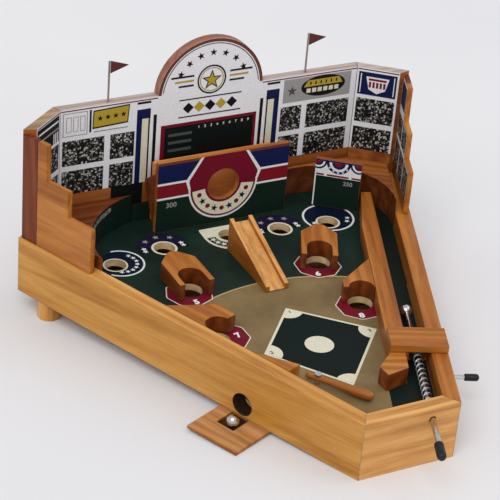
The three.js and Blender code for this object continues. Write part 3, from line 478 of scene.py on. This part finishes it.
# Building pieces
def piece(name, vertices, faces, materials, body=BASE, indices=None, smooth=None):
    """A mesh in metres of the row frame that rides on a body."""
    mesh = bpy.data.meshes.new(name)
    mesh.from_pydata([tuple(v) for v in vertices], [], faces)
    for made in materials:
        mesh.materials.append(made)
    if indices:
        mesh.polygons.foreach_set("material_index", indices)
    if smooth is not None:
        mesh.polygons.foreach_set("use_smooth", [True] * len(mesh.polygons))
        mesh.set_sharp_from_angle(angle=smooth)
    mesh.update()
    item = bpy.data.objects.new(name, mesh)
    bpy.context.collection.objects.link(item)
    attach(item, body)
    return item


def axes(direction):
    """A unit vector along a direction, and two more square to it."""
    axis = Vector(direction).normalized()
    side = axis.orthogonal().normalized()
    return axis, side, axis.cross(side)


def tube(count, sides):
    """Faces of a closed tube round a number of rings of points."""
    last = (count - 1) * sides
    faces = [tuple(reversed(range(sides))), tuple(range(last, last + sides))]
    for start in range(0, last, sides):
        for i in range(sides):
            a, b = start + i, start + (i + 1) % sides
            faces.append((a, b, b + sides, a + sides))
    return faces


def turned(name, profile, start, direction, material, body, node, sides=48):
    """A turned piece that stands for a CAD node; its profile is radius and place in millimetres."""
    axis, side, other = axes(direction)
    angles = [2 * math.pi * i / sides for i in range(sides)]
    vertices = [
        spot(Vector(start) + axis * place + (side * math.cos(a) + other * math.sin(a)) * r)
        for r, place in profile
        for a in angles
    ]
    item = piece(name, vertices, tube(len(profile), sides), [material], body, smooth=math.radians(38))
    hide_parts(node)
    return item


def scaled(shares, radius, length):
    """A profile in millimetres from one in shares of a radius and a length."""
    return [(r * radius, place * length) for r, place in shares]


def between(p, q, r, s, t):
    """A value on the smooth curve from q to r, whose neighbours are p and s."""
    square = 2 * p - 5 * q + 4 * r - s
    cube = 3 * q - p - 3 * r + s
    return 0.5 * (2 * q + (r - p) * t + square * t * t + cube * t ** 3)


def softened(profile):
    """A profile with a smooth curve through its points."""
    steps = 4
    ends = [profile[0], *profile, profile[-1]]
    curve = []
    for four in zip(ends, ends[1:], ends[2:], ends[3:]):
        for i in range(steps):
            curve.append(tuple(between(*values, i / steps) for values in zip(*four)))
    return curve + [profile[-1]]


def ball(name, centre, body, node):
    """A polished steel ball that stands for a CAD node."""
    radius = BALL_RADIUS * 0.001
    bpy.ops.mesh.primitive_uv_sphere_add(segments=64, ring_count=32, radius=radius, location=centre)
    item = bpy.context.object
    item.name = name
    item.data.transform(Matrix.Translation(item.location))
    item.location = (0, 0, 0)
    item.data.polygons.foreach_set("use_smooth", [True] * len(item.data.polygons))
    item.data.materials.append(steel)
    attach(item, body)
    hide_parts(node)


def spring(name, start, direction, length, diameter, thick, turns, node):
    """A coil spring with closed end turns that stands for a CAD node."""
    axis, side, other = axes(direction)
    mean = (diameter - thick) / 2
    around, steps, closed = 12, 32, 1.25
    closed_rise = thick * 1.05
    open_rise = (length - thick - 2 * closed * closed_rise) / (turns - 2 * closed)
    vertices = []
    for step in range(int(turns * steps) + 1):
        turn = step / steps
        first = min(turn, closed)
        last = max(0, turn - (turns - closed))
        rise = thick / 2 + (first + last) * closed_rise + (turn - first - last) * open_rise
        out = side * math.cos(2 * math.pi * turn) + other * math.sin(2 * math.pi * turn)
        for i in range(around):
            a = 2 * math.pi * i / around
            wide = mean + math.cos(a) * thick / 2
            high = rise + math.sin(a) * thick / 2
            vertices.append(spot(Vector(start) + out * wide + axis * high))
    faces = [face[::-1] for face in tube(len(vertices) // around, around)]
    item = piece(name, vertices, faces, [wire], smooth=math.radians(50))
    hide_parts(node)
    return item


# Flat prints
def arc(u, v, radius, start=0.0, end=360.0, closed=True, steps=48):
    """Points on a circle from one angle to another; a closed one leaves out the last."""
    count = steps if closed else steps + 1
    return [on_circle((u, v), radius, start + (end - start) * i / steps) for i in range(count)]


def star(u, v, radius, turn=90.0):
    """A five-pointed star with one point at an angle."""
    inner = radius * 0.42
    return [on_circle((u, v), inner if i % 2 else radius, turn + 36 * i) for i in range(10)]


def fan_points(outline, centre, inner):
    """Where rays from a centre through points of an inner arc leave an outline."""
    found = []
    for point in inner:
        d = (point[0] - centre[0], point[1] - centre[1])
        best = 0.0
        for (ax, ay), (bx, by) in zip(outline, outline[1:] + outline[:1]):
            ex, ey = bx - ax, by - ay
            cross = d[0] * ey - d[1] * ex
            if abs(cross) < 1e-9:
                continue
            t = ((ax - centre[0]) * ey - (ay - centre[1]) * ex) / cross
            s = ((ax - centre[0]) * d[1] - (ay - centre[1]) * d[0]) / cross
            if t > 0 and -1e-6 <= s <= 1 + 1e-6:
                best = max(best, t)
        found.append((centre[0] + d[0] * best, centre[1] + d[1] * best))
    return found


class Sheet:
    """A print on one face of the CAD: polygons in millimetres, each layer a little above the one before."""

    def __init__(self, name, origin, across, up):
        self.name = name
        self.origin = Vector(origin)
        self.across = Vector(across)
        self.up = Vector(up)
        self.out = self.across.cross(self.up).normalized()
        self.vertices, self.faces, self.indices, self.inks = [], [], [], []

    def add(self, points, faces, ink, layer):
        base = len(self.vertices)
        lift = self.out * (LAYER * (layer + 1))
        self.vertices += [spot(self.origin + self.across * u + self.up * v + lift) for u, v in points]
        self.faces += [tuple(base + i for i in face) for face in faces]
        if ink not in self.inks:
            self.inks.append(ink)
        self.indices += [self.inks.index(ink)] * len(faces)

    def shape(self, points, ink, layer=0):
        """A polygon, turned so that it faces outward."""
        area = sum(a[0] * b[1] - b[0] * a[1] for a, b in zip(points, [*points[1:], points[0]]))
        self.add(points if area > 0 else points[::-1], [tuple(range(len(points)))], ink, layer)

    def rect(self, u0, v0, u1, v1, ink, layer=0):
        self.shape([(u0, v0), (u1, v0), (u1, v1), (u0, v1)], ink, layer)

    def stars(self, centre, radius, angles, size, ink, layer):
        """Stars on a circle, each with a point outward."""
        for a in angles:
            self.shape(star(*on_circle(centre, radius, a), size, a), ink, layer)

    def band(self, inner, outer, ink, layer, closed=True):
        """The strip between two rows of points."""
        n = len(inner)
        last = n if closed else n - 1
        faces = [(i, n + i, n + (i + 1) % n, (i + 1) % n) for i in range(last)]
        (ax, ay), (bx, by), (cx, cy) = inner[0], outer[0], outer[1]
        if (bx - ax) * (cy - ay) - (by - ay) * (cx - ax) < 0:
            faces = [face[::-1] for face in faces]
        self.add(inner + outer, faces, ink, layer)

    def ring(self, u, v, small, large, ink, layer, start=0.0, end=360.0):
        closed = end - start >= 360
        inner, outer = (arc(u, v, radius, start, end, closed) for radius in (small, large))
        self.band(inner, outer, ink, layer, closed)

    def label(self, hole, radius, centre, reach, sides, ink, layer, turn=0.0):
        """A many-sided label with a round hole, whose middle may lie beside the hole."""
        angles = (2 * math.pi * k / sides + turn for k in range(sides))
        normals = [(math.cos(a), math.sin(a)) for a in angles]
        inner = arc(*hole, radius, steps=64)
        outer = []
        for d in arc(0, 0, 1, steps=64):
            best = 1e9
            for n in normals:
                facing = n[0] * d[0] + n[1] * d[1]
                if facing > 1e-6:
                    offset = n[0] * (hole[0] - centre[0]) + n[1] * (hole[1] - centre[1])
                    best = min(best, (reach - offset) / facing)
            outer.append((hole[0] + best * d[0], hole[1] + best * d[1]))
        self.band(inner, outer, ink, layer)

    def text(self, words, u, v, size, ink, layer, turn=0.0, heavy=0.03):
        """Plain digits, centred on a place of the sheet."""
        curve = bpy.data.curves.new("digits", "FONT")
        curve.body, curve.size, curve.offset = words, size, heavy * size
        curve.align_x, curve.align_y = "CENTER", "CENTER"
        curve.resolution_u = 3
        item = bpy.data.objects.new("digits", curve)
        bpy.context.collection.objects.link(item)
        mesh = item.to_mesh()
        c, s = math.cos(turn), math.sin(turn)
        points = [(u + p.co.x * c - p.co.y * s, v + p.co.x * s + p.co.y * c) for p in mesh.vertices]
        self.add(points, [tuple(f.vertices) for f in mesh.polygons], ink, layer)
        item.to_mesh_clear()
        bpy.data.objects.remove(item)

    def build(self):
        materials = [inks[ink] for ink in self.inks]
        piece(self.name, self.vertices, self.faces, materials, indices=self.indices)


# Prints of the playfield: places of the hit holes and the pocket holes, and radii just outside them
HITS = [(-78, 197), (-44, 205), (-2.2, 206), (30, 202.5), (61, 200)]
HIT_EDGE = 6.15
POCKETS = [(-49.4, 158.5), (33.2, 160.9), (34.8, 114.2), (-56.5, 108.3)]
POCKET_EDGE = 7.1


def infield(field):
    """The infield's square with fans at its corners, a mound and three numbers."""
    corners = [(-7, 124), (-39, 87.6), (-8, 45.5), (30.5, 88)]
    middle = (-6.2, 86)
    inward = [(u + (middle[0] - u) * 0.055, v + (middle[1] - v) * 0.055) for u, v in corners]
    field.shape(corners, "cream")
    field.shape(inward, "green", 1)
    for i, (u, v) in enumerate(inward):
        before, after = inward[i - 1], inward[(i + 1) % 4]
        a = math.atan2(before[1] - v, before[0] - u)
        b = math.atan2(after[1] - v, after[0] - u)
        sweep = (b - a + math.pi) % (2 * math.pi) - math.pi
        fan = arc(u, v, 8.5, math.degrees(a), math.degrees(a + sweep), False, 12)
        field.shape([(u, v), *fan], "cream", 2)
    field.shape(arc(-6.7, 85.5, 8), "cream", 2)
    for count, (u, v) in enumerate(((-6.8, 119.5), (-34.5, 87.3), (26, 88)), 1):
        field.text(str(count), u, v, 3.4, "green", 3)


def hit_hole_prints(field):
    # Discs with stars round the two holes at the sides
    left, right = (-74.5, 198), (64, 205)
    field.ring(*HITS[0], HIT_EDGE, 7.2, "cream", 2)
    field.label(HITS[0], 7.2, left, 12.3, 48, "deep", 1)
    field.ring(*left, 13, 14.1, "white", 1, -135, 92)
    field.stars(left, 9.6, range(-108, 41, 21), 1.7, "white", 2)
    field.ring(*HITS[4], HIT_EDGE, 7.4, "cream", 2)
    field.label(HITS[4], 7.4, right, 14.6, 48, "deep", 1)
    field.ring(*right, 14.6, 15.9, "white", 1, 95, 395)
    field.stars(right, 11.6, (196, 216, 318, 338), 1.9, "white", 2)

    # Ribbons above the two holes between them
    for hole in (HITS[1], HITS[3]):
        field.ring(*hole, HIT_EDGE, 7.6, "cream", 2)
        field.ring(*hole, 7.6, 16.6, "violet", 1, 18, 162)
        field.ring(*hole, 7.6, 15.2, "black", 1, 162, 188)
        field.ring(*hole, 7.6, 15.2, "black", 1, -8, 18)
        field.stars(hole, 12, (-1, 12, 168, 181), 2, "white", 3)
        field.stars(hole, 12.6, (52, 90, 128), 2.2, "grey", 3)

    # Half disc round the hole behind the ramp
    hole = HITS[2]
    edge = arc(*hole, HIT_EDGE)
    shield = [(-17, 217), (-17.4, 206), *arc(-1, 206, 16.4, 190, 350, False, 20), (15.4, 206), (15, 217)]
    field.label(hole, HIT_EDGE, (hole[0], hole[1] + 0.2), 7.4, 48, "cream", 3)
    field.band(edge, fan_points(shield, hole, edge), "cream", 1)
    field.ring(*hole, 8.4, 13.6, "green", 2, 176, 364)
    field.stars(hole, 11, range(190, 351, 20), 2.3, "cream", 3)


def pocket_labels(field):
    """Eight-sided labels, each with a digit in front of its hole; the last digit stands beside it."""
    labels = [
        ((-51, 156), 0.0, "5"),
        ((31.6, 158.4), math.radians(-27), "6"),
        ((33.2, 111.6), -FLARE, "8"),
        ((-51.3, 109.4), FLARE, "7"),
    ]
    for hole, (centre, turn, digit) in zip(POCKETS, labels):
        for reach, ink, layer in ((13, "cream", 0), (12.4, "maroon", 1)):
            field.label(hole, POCKET_EDGE, centre, reach, 8, ink, layer, turn + math.radians(22.5))
        away = (math.sin(turn) * 9.8, -math.cos(turn) * 9.8)
        if digit == "7":
            away = (7.2, -0.76)
        field.text(digit, centre[0] + away[0], centre[1] + away[1], 6, "white", 2, turn * 0.5, 0.05)


def field_prints():
    field = Sheet("field_prints", (0, 0, FIELD), (1, 0, 0), (0, 1, 0))
    infield(field)
    hit_hole_prints(field)

    # Dark floor of the lane, by places along the right wall and inside it
    lane = [(2, 9.6), (216, 9.6), (216, 20.7), (46, 20.7), (31, 22.5), (24, 33), (8, 33)]
    field.shape([right_place(along, inset).xy for along, inset in lane], "floor")
    pocket_labels(field)
    field.build()


# Prints of the upright walls and panels
def center_wall_prints():
    wall = Sheet("outfield_prints", (0, OUTFIELD_FACE, 0), (1, 0, 0), UP)
    half, low, top = 42.4, 24.5, 69.9
    hole, edge = (0, 49.8), 10.2
    wall.rect(-half, low, -edge, 46, "pine")
    wall.rect(edge, low, half, 46, "pine")
    wall.rect(-edge, low, edge, 39.3, "pine")
    stripes = [
        (45.6, 46.9, "white"),
        (46.9, 55.2, "red"),
        (55.2, 56.6, "white"),
        (56.6, 68.2, "navy"),
        (68.2, top, "rim"),
    ]
    for side in (-1, 1):
        for foot, head, ink in stripes:
            wall.rect(side * half, foot, side * 17, head, ink, 1)

    # Shield round the hole: its right side, then the whole outline
    opening = arc(*hole, edge, 0, 180, False)
    shields = [
        ([(22.6, hole[1]), (24.6, 55.6), (16, 68.6), (15, top)], "white", 2),
        ([(21, hole[1]), (22.4, 55.2), (14.4, 68.2), (13.5, top)], "maroon", 3),
    ]
    for right, ink, layer in shields:
        outline = right + [(-u, v) for u, v in reversed(right)]
        wall.band(opening, fan_points(outline, hole, opening), ink, layer, False)
    wall.ring(*hole, edge, 22.4, "white", 2, 180, 360)
    wall.ring(*hole, edge, 21.2, "maroon", 3, 180, 360)
    wall.ring(*hole, 11.8, 20, "cream", 4, 186, 354)
    for i, a in enumerate(range(198, 343, 18)):
        place = on_circle(hole, 16, a)
        if i % 2:
            wall.shape(star(*place, 2.5, a - 180), "violet", 5)
        else:
            wall.shape(arc(*place, 1.5), "maroon", 5)
    wall.text("300", -33, 41.4, 4.6, "grey", 1, heavy=0.02)
    wall.build()


def right_wall_prints():
    """Green below a white strip, which is hung with half-round bunting."""
    angle = math.radians(OUTFIELD_TURN)
    wall = Sheet("outfield_right_prints", (61.8, 222.3, 0), (math.cos(angle), math.sin(angle), 0), UP)
    left, right = 0.1, 27.9
    low, line, rope, top = 24.5, 45, 54.9, 55.9
    wall.rect(left, low, right, top, "pine")
    wall.rect(left, line, right, top, "white", 1)
    wall.rect(left, low, 0.9, line, "white", 1)
    for u, size in ((14, 7.4), (1.6, 5.4), (26.4, 5.4)):
        for k, ink in enumerate(("navy", "white", "navy", "red")):
            half = arc(u, rope, size * (1 - 0.22 * k), 180, 360, False, 18)
            wall.shape([(min(right, max(left, x)), y) for x, y in half], ink, 2 + k)
    wall.stars((14, rope), 6.5, (215, 243, 270, 297, 325), 0.9, "white", 3)
    wall.rect(left, rope, right, top, "navy", 2)
    for start, end in ((0.9, 5.6), (7.4, 20.6), (22.4, right)):
        wall.rect(start, 45.4, end, 46.6, "red", 2)
    wall.text("250", 20.5, 41.6, 3.8, "grey", 1, heavy=0.02)
    wall.build()


def bleachers(sheet, columns):
    """Two rows of crowd in each column."""
    for left, right in columns:
        sheet.rect(left, 67, right, 83, "crowd", 1)
        sheet.rect(left, PRINT_FOOT, right, 63.6, "crowd", 1)


def pillar(sheet, outer, flip):
    """Tall striped pillar of the backdrop's print, 12.5 mm wide, counted inward from its outer edge."""
    bands = [
        (0, 3.3, PRINT_FOOT, 91.6, "navy"),
        (7.3, 8.3, PRINT_FOOT, 91.6, "black"),
        (10.5, 12.5, PRINT_FOOT, 91.6, "black"),
        (3.3, 7.3, PRINT_FOOT, 90, "cream"),
        (0, 8.5, 90, 96.2, "navy"),
        (0, 8.5, 99.6, 101, "black"),
    ]
    for start, end, low, high, ink in bands:
        sheet.rect(outer + flip * start, low, outer + flip * end, high, ink, 1)


def signs(back):
    """Signs over the bleachers: plain blocks and shapes."""
    back.rect(-94, 85.8, -79, 100.6, "grey", 1)
    back.rect(-93.5, 86.3, -79.5, 100.1, "white", 2)
    for k in range(3):
        u = -92 + 4.2 * k
        back.rect(u, 88.4, u + 3.2, 98, "grey", 3)
        back.rect(u + 0.4, 88.8, u + 2.8, 97.6, "white", 4)
    back.rect(-77.8, 86.6, -76.6, 100.8, "black", 1)
    back.shape([(-76, 88.4), (-54, 89.4), (-53.2, 101), (-75.6, 100)], "black", 1)
    back.shape([(-75.4, 89.4), (-54.6, 90.3), (-53.8, 100.2), (-75, 99.2)], "gold", 2)
    for k in range(4):
        back.shape(star(-71.4 + 4.8 * k, 94.6 + 0.2 * k, 1.9), "black", 3)
    back.rect(-75, 86.2, -54, 86.9, "grey", 1)
    back.rect(46, 85.6, 91.6, 101, "grey", 1)
    back.shape([(72.8 + 2.2 * u, 94.2 + v) for u, v in arc(0, 0, 6.8)], "black", 2)
    back.shape([(59.6, 94.4), (86, 94.4), (83.4, 98.6), (62.2, 98.6)], "gold", 3)
    for k in range(6):
        back.rect(61.6 + 3.8 * k, 90.4, 64.4 + 3.8 * k, 93.2, "cream", 3)
        back.rect(63.6 + 3.5 * k, 95.6, 64.6 + 3.5 * k, 97.6, "black", 4)
    back.shape(star(51.8, 93, 3.4), "slate", 3)


def score_panel(back):
    back.rect(-33, 54, 28.8, 83.4, "maroon", 1)
    back.rect(-30.4, 55.6, 27, 81.4, "black", 2)
    back.rect(-29.8, 56.2, 26.4, 80.8, "green", 3)
    for row in range(3):
        v = 75.4 - 5 * row
        back.rect(-28, v, -13, v + 1.8, "slate", 4)
        for column in range(9):
            u = -10 + 4 * column
            back.rect(u, v - 0.6, u + 2.8, v + 2.4, "black", 4)
    for column in range(9):
        back.text(str(column + 1), -8.6 + 4 * column, 79.2, 2.4, "cream", 4)


def arched_sign(back):
    """Rim of the arch and of the panel beside it, then a star with stripes, small stars and diamonds."""
    middle, line = ARCH_MIDDLE, PANEL_TOP - 0.9
    back.ring(middle, 101, 31.6, 33.5, "rim", 1, 3.6, 176.4)
    back.ring(middle, 101, 30.4, 30.9, "black", 1, 6, 174)
    back.rect(-95.2, line - 0.5, middle - ARCH_RADIUS, line + 0.2, "maroon", 1)
    back.rect(middle + ARCH_RADIUS, line - 0.5, 95.2, line + 0.2, "maroon", 1)
    back.ring(middle, 109, 8.2, 9.2, "black", 1)
    back.ring(middle, 109, 7, 7.6, "gold", 1)
    back.shape(star(middle, 108.6, 6.6), "black", 2)
    back.shape(star(middle, 108.6, 4.9), "gold", 3)
    back.stars((middle, PANEL_TOP), 23, range(30, 151, 20), 2.4, "black", 1)
    for side in (-1, 1):
        for k, ink in enumerate(("black", "gold", "black")):
            v = 112.2 - 3 * k
            back.rect(middle + side * 11.5, v, middle + side * (26 - 2.5 * k), v + 1.2, ink, 1)
    for k in range(5):
        u = middle - 14 + 7 * k
        back.shape([(u - 3.5, 92.5), (u, 96), (u + 3.5, 92.5), (u, 89)], "gold" if k % 2 else "black", 1)
    for v in (97.6, 86.6):
        back.rect(middle - 20, v, middle + 20, v + 0.8, "black", 1)


def back_prints():
    back = Sheet("backdrop_prints", (0, BACK_FACE, 0), (1, 0, 0), UP)
    bleachers(back, [(-94, -68.3), (-64.6, -49.6), (45.2, 59.2), (62.8, 91.6)])
    pillar(back, -48.5, 1)
    pillar(back, 43.3, -1)
    # Painted shadow: a dark print on the panel's bare foot, in the shade between the left guide and the
    # bracket
    back.rect(-63, WALL_TOP + 0.4, -43, PRINT_FOOT, "painted_shade", 1)
    signs(back)
    score_panel(back)
    arched_sign(back)
    back.build()


def wing_prints():
    back_end, side_end = Vector((95.55, BACK_FACE, 0)), Vector((115.87, 224.98, 0))
    along = (side_end - back_end).normalized()
    right = Sheet("wing_prints_right", back_end, along, UP)
    left = Sheet("wing_prints_left", mirrored(side_end), (along.x, -along.y, 0), UP)
    line = PANEL_TOP - 1.4
    for sheet in (right, left):
        bleachers(sheet, [(1.4, 24.8)])
        sheet.rect(0.6, line, 25.6, line + 0.7, "maroon", 1)

    # Right sign with a plain striped crest
    right.rect(1.4, 85.4, 24.8, 100.4, "navy", 1)
    right.rect(2.6, 86.6, 3.2, 99.2, "white", 2)
    right.rect(23, 86.6, 23.6, 99.2, "white", 2)
    right.shape([(6, 97.6), (20.2, 97.6), (18.2, 89.4), (13.1, 86.8), (8, 89.4)], "white", 2)
    for k in range(5):
        right.rect(8 + 2.2 * k, 90.6, 9.4 + 2.2 * k, 94.4, "red", 3)
    right.rect(7.6, 95.2, 18.6, 96.6, "red", 3)

    # Left sign with plain bars
    left.rect(0.8, 85, 24.8, 101, "black", 1)
    left.rect(1.8, 97, 24, 98.2, "white", 2)
    left.rect(1.8, 92.8, 24, 93.8, "grey", 2)
    for k in range(3):
        left.rect(18.6 + 2 * k, 85, 19.6 + 2 * k, 91.6, "white", 2)
    right.build()
    left.build()


def side_prints():
    """Steps of the side panels: rows of crowd, and a dark sign on the highest."""
    steps = [(192, 209.6, 62), (210.2, 226.4, 78.2), (227, 243.6, 100.2)]
    bands = [(43, 60.6, "crowd"), (63.4, 77.2, "crowd"), (82.8, 98.4, "navy")]
    face = right_place(0, 4.7)
    right = Sheet("side_prints_right", face, -SIDE, UP)
    left = Sheet("side_prints_left", mirrored(face), mirrored(SIDE), UP)
    for start, end, top in steps:
        for sheet, sign in ((right, -1), (left, 1)):
            sheet.rect(sign * start, 43, sign * end, top - 0.4, "white")
            for low, high, ink in bands:
                if high < top:
                    sheet.rect(sign * (start + 0.8), low, sign * (end - 0.8), high, ink, 1)
    right.build()
    left.build()


def guide_prints():
    """A light strip along the upper edge of the left corner guide's hollow face."""
    strip = arc(-35.3, 182.6, 58.7, 122, 151, False, 29)
    vertices = [spot((x, y, z)) for x, y in strip for z in (37.4, 40.6)]
    faces = [(2 * i, 2 * i + 1, 2 * i + 3, 2 * i + 2) for i in range(len(strip) - 1)]
    piece("guide_print_left", vertices, faces, [inks["crowd_pale"]])


def glued_corners():
    """Pale wood in the open mitres of the front corners: a painted highlight along the corner edges, and
    wear.
    """
    gap, low, high = 0.13, 1.8, WALL_TOP - 0.1
    inner = right_place(WALL * (1 - math.sin(FLARE)) / math.cos(FLARE), WALL)
    right = [
        Vector((FRONT_HALF - gap, 0.03, 0)),
        Vector((FRONT_HALF - 0.01, 0.02, 0)),
        right_place(gap, 0.03),
        inner + SIDE * gap,
        inner - Vector((gap, 0, 0)),
    ]
    left = [mirrored(p) for p in reversed(right)]
    # Painted highlight: pale wood where the corner edges catch the light
    for name, outline in (("corner_highlight_right", right), ("corner_highlight_left", left)):
        vertices = [spot((p.x, p.y, z)) for z in (low, high) for p in outline]
        piece(name, vertices, tube(2, len(outline)), [pale])


# Turned and wound pieces, finer than their solids; their shapes are in shares of radius and length
KNOB_FRONT = [(0.8, 0), (1, 0.06), (1, 0.3), (0.94, 0.33), (1, 0.36)]
KNOB = [*KNOB_FRONT, (1, 0.8), (0.93, 0.88), (0.8, 0.94), (0.4, 1)]
HANDLE = [(0.56, 0), (0.62, 0.01), (0.72, 0.04), (0.64, 0.1), (0.6, 0.3)]
BARREL = [(0.72, 0.5), (0.93, 0.72), (1, 0.86), (0.88, 0.96), (0.5, 1)]
BAT_RADIUS = 2.7
BAT_LENGTH = 38


def lane_place(along, height=PLUNGER_HEIGHT):
    """A place on the middle line of the lane."""
    return right_place(along, LANE_MIDDLE, height)


def moving_pieces():
    front_face = -LANE_MIDDLE * math.tan(FLARE)
    knob_start = front_face - 20.6
    rod_start = knob_start - 7.2
    reach = PLUNGER_TIP - rod_start
    rod = [(1.5, 0), (1.5, reach - 0.4), (1.2, reach)]
    turned("plunger_rod_fine", rod, lane_place(rod_start), SIDE, steel, "plunger", "plunger_rod")
    knob = scaled(KNOB, 2.49, 11.98)
    start = lane_place(knob_start)
    turned("plunger_knob_fine", knob, start, -SIDE, black_rubber, "plunger", "plunger_knob")
    knob = scaled(KNOB, 2, 8)
    start = right_place(ROD_PLACE, -12, ROD_HEIGHT)
    turned("bat_rod_knob_fine", knob, start, OUT, black_rubber, "bat_push_rod", "bat_rod_knob")
    collar = [(3.5, 0), (3.8, 0.3), (3.8, 1.7), (3.5, 2)]
    start = lane_place(COLLAR_PLACE)
    turned("plunger_collar_fine", collar, start, SIDE, steel, "plunger", "plunger_collar")

    # The bat, whose handle reaches a little behind its pin
    angle = math.radians(BAT_REST)
    direction = Vector((math.cos(angle), math.sin(angle), 0))
    start = Vector((*BAT_PIVOT, FIELD + 0.6 + BAT_RADIUS)) - direction * 6.5
    profile = softened(scaled(HANDLE + BARREL, BAT_RADIUS, BAT_LENGTH))
    turned("bat_fine", profile, start, direction, looks["bat"], "swinging_bat", "bat", 64)
    ball("lane_ball_fine", spot(lane_place(95.4, FIELD + 0.3 + BALL_RADIUS)), "ball_in_lane", "lane_ball")
    ball("tray_ball_fine", spot(mirrored(right_place(75.75, -9.2, 2.3))), "ball_in_tray", "tray_ball")

    # Springs, each given a mesh of its own; in the game their slides squash them against the fixed end
    start = front_face + WALL / math.cos(FLARE) + 2.6 * math.tan(FLARE) + 0.3
    length = 49.6 - start
    foot = lane_place(start)
    coil = spring("plunger_spring_fine", foot, SIDE, length, 5.2, 0.8, 12, "plunger_spring")
    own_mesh(coil)
    inner = right_place(ROD_PLACE, 31.9, ROD_HEIGHT)
    coil = spring("bat_spring_fine", inner, OUT, 20, 5.4, 0.7, 9, "bat_spring")
    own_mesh(coil)


field_prints()
center_wall_prints()
right_wall_prints()
back_prints()
wing_prints()
side_prints()
guide_prints()
glued_corners()
moving_pieces()


# Stage: a pale floor, soft light and the camera
def floor():
    made = Material("floor")
    patch = made.noise(made.coords(), 3.0, 2.0)
    colour = made.ramp(patch, [(0.3, (224, 224, 228)), (0.7, (229, 229, 232))])
    mesh = bpy.data.meshes.new("floor")
    mesh.from_pydata([(-9, -9, 0), (9, -9, 0), (9, 9, 0), (-9, 9, 0)], [], [(0, 1, 2, 3)])
    mesh.materials.append(made.finish(colour, 0.85, Specular_IOR_Level=0.1))
    item = bpy.data.objects.new("floor", mesh)
    bpy.context.collection.objects.link(item)


def lamp(name, strength, angle, direction):
    """A distant lamp; its angle in degrees softens the shadows."""
    light = bpy.data.lights.new(name, "SUN")
    light.energy, light.angle = strength, math.radians(angle)
    item = bpy.data.objects.new(name, light)
    item.rotation_euler = Vector(direction).to_track_quat("-Z", "Y").to_euler()
    bpy.context.collection.objects.link(item)


def studio():
    world = bpy.data.worlds.new("studio")
    bpy.context.scene.world = world
    world.use_nodes = True
    background = world.node_tree.nodes["Background"]
    background.inputs["Color"].default_value = (1, 1, 1, 1)
    background.inputs["Strength"].default_value = 0.62
    lamp("key", 1.35, 40, (0.55, 0.6, -1.0))
    lamp("fill", 0.45, 60, (-0.8, 0.25, -0.8))
    bpy.context.scene.view_settings.view_transform = "Standard"


def camera():
    """The camera of the photograph; its angles and place are those of the box frame."""
    azimuth, elevation, roll = (math.radians(v) for v in (-29.11, 30.69, 4.97))
    flat = math.cos(elevation)
    ahead = Vector((-math.sin(azimuth) * flat, math.cos(azimuth) * flat, -math.sin(elevation)))
    right = Vector((math.cos(azimuth), math.sin(azimuth), 0))
    up = right.cross(ahead)
    right, up = right * math.cos(roll) + up * math.sin(roll), up * math.cos(roll) - right * math.sin(roll)
    turn = Matrix((right, up, -ahead)).transposed().to_4x4()
    turn.translation = Vector((-0.447, -0.62, 0.572))
    data = bpy.data.cameras.new("camera")
    data.sensor_width, data.lens = 36, 36 * 833.6 / 225
    data.clip_start, data.clip_end = 0.05, 50
    item = bpy.data.objects.new("camera", data)
    bpy.context.collection.objects.link(item)
    item.matrix_world = PLACE @ turn
    bpy.context.scene.camera = item


floor()
studio()
camera()
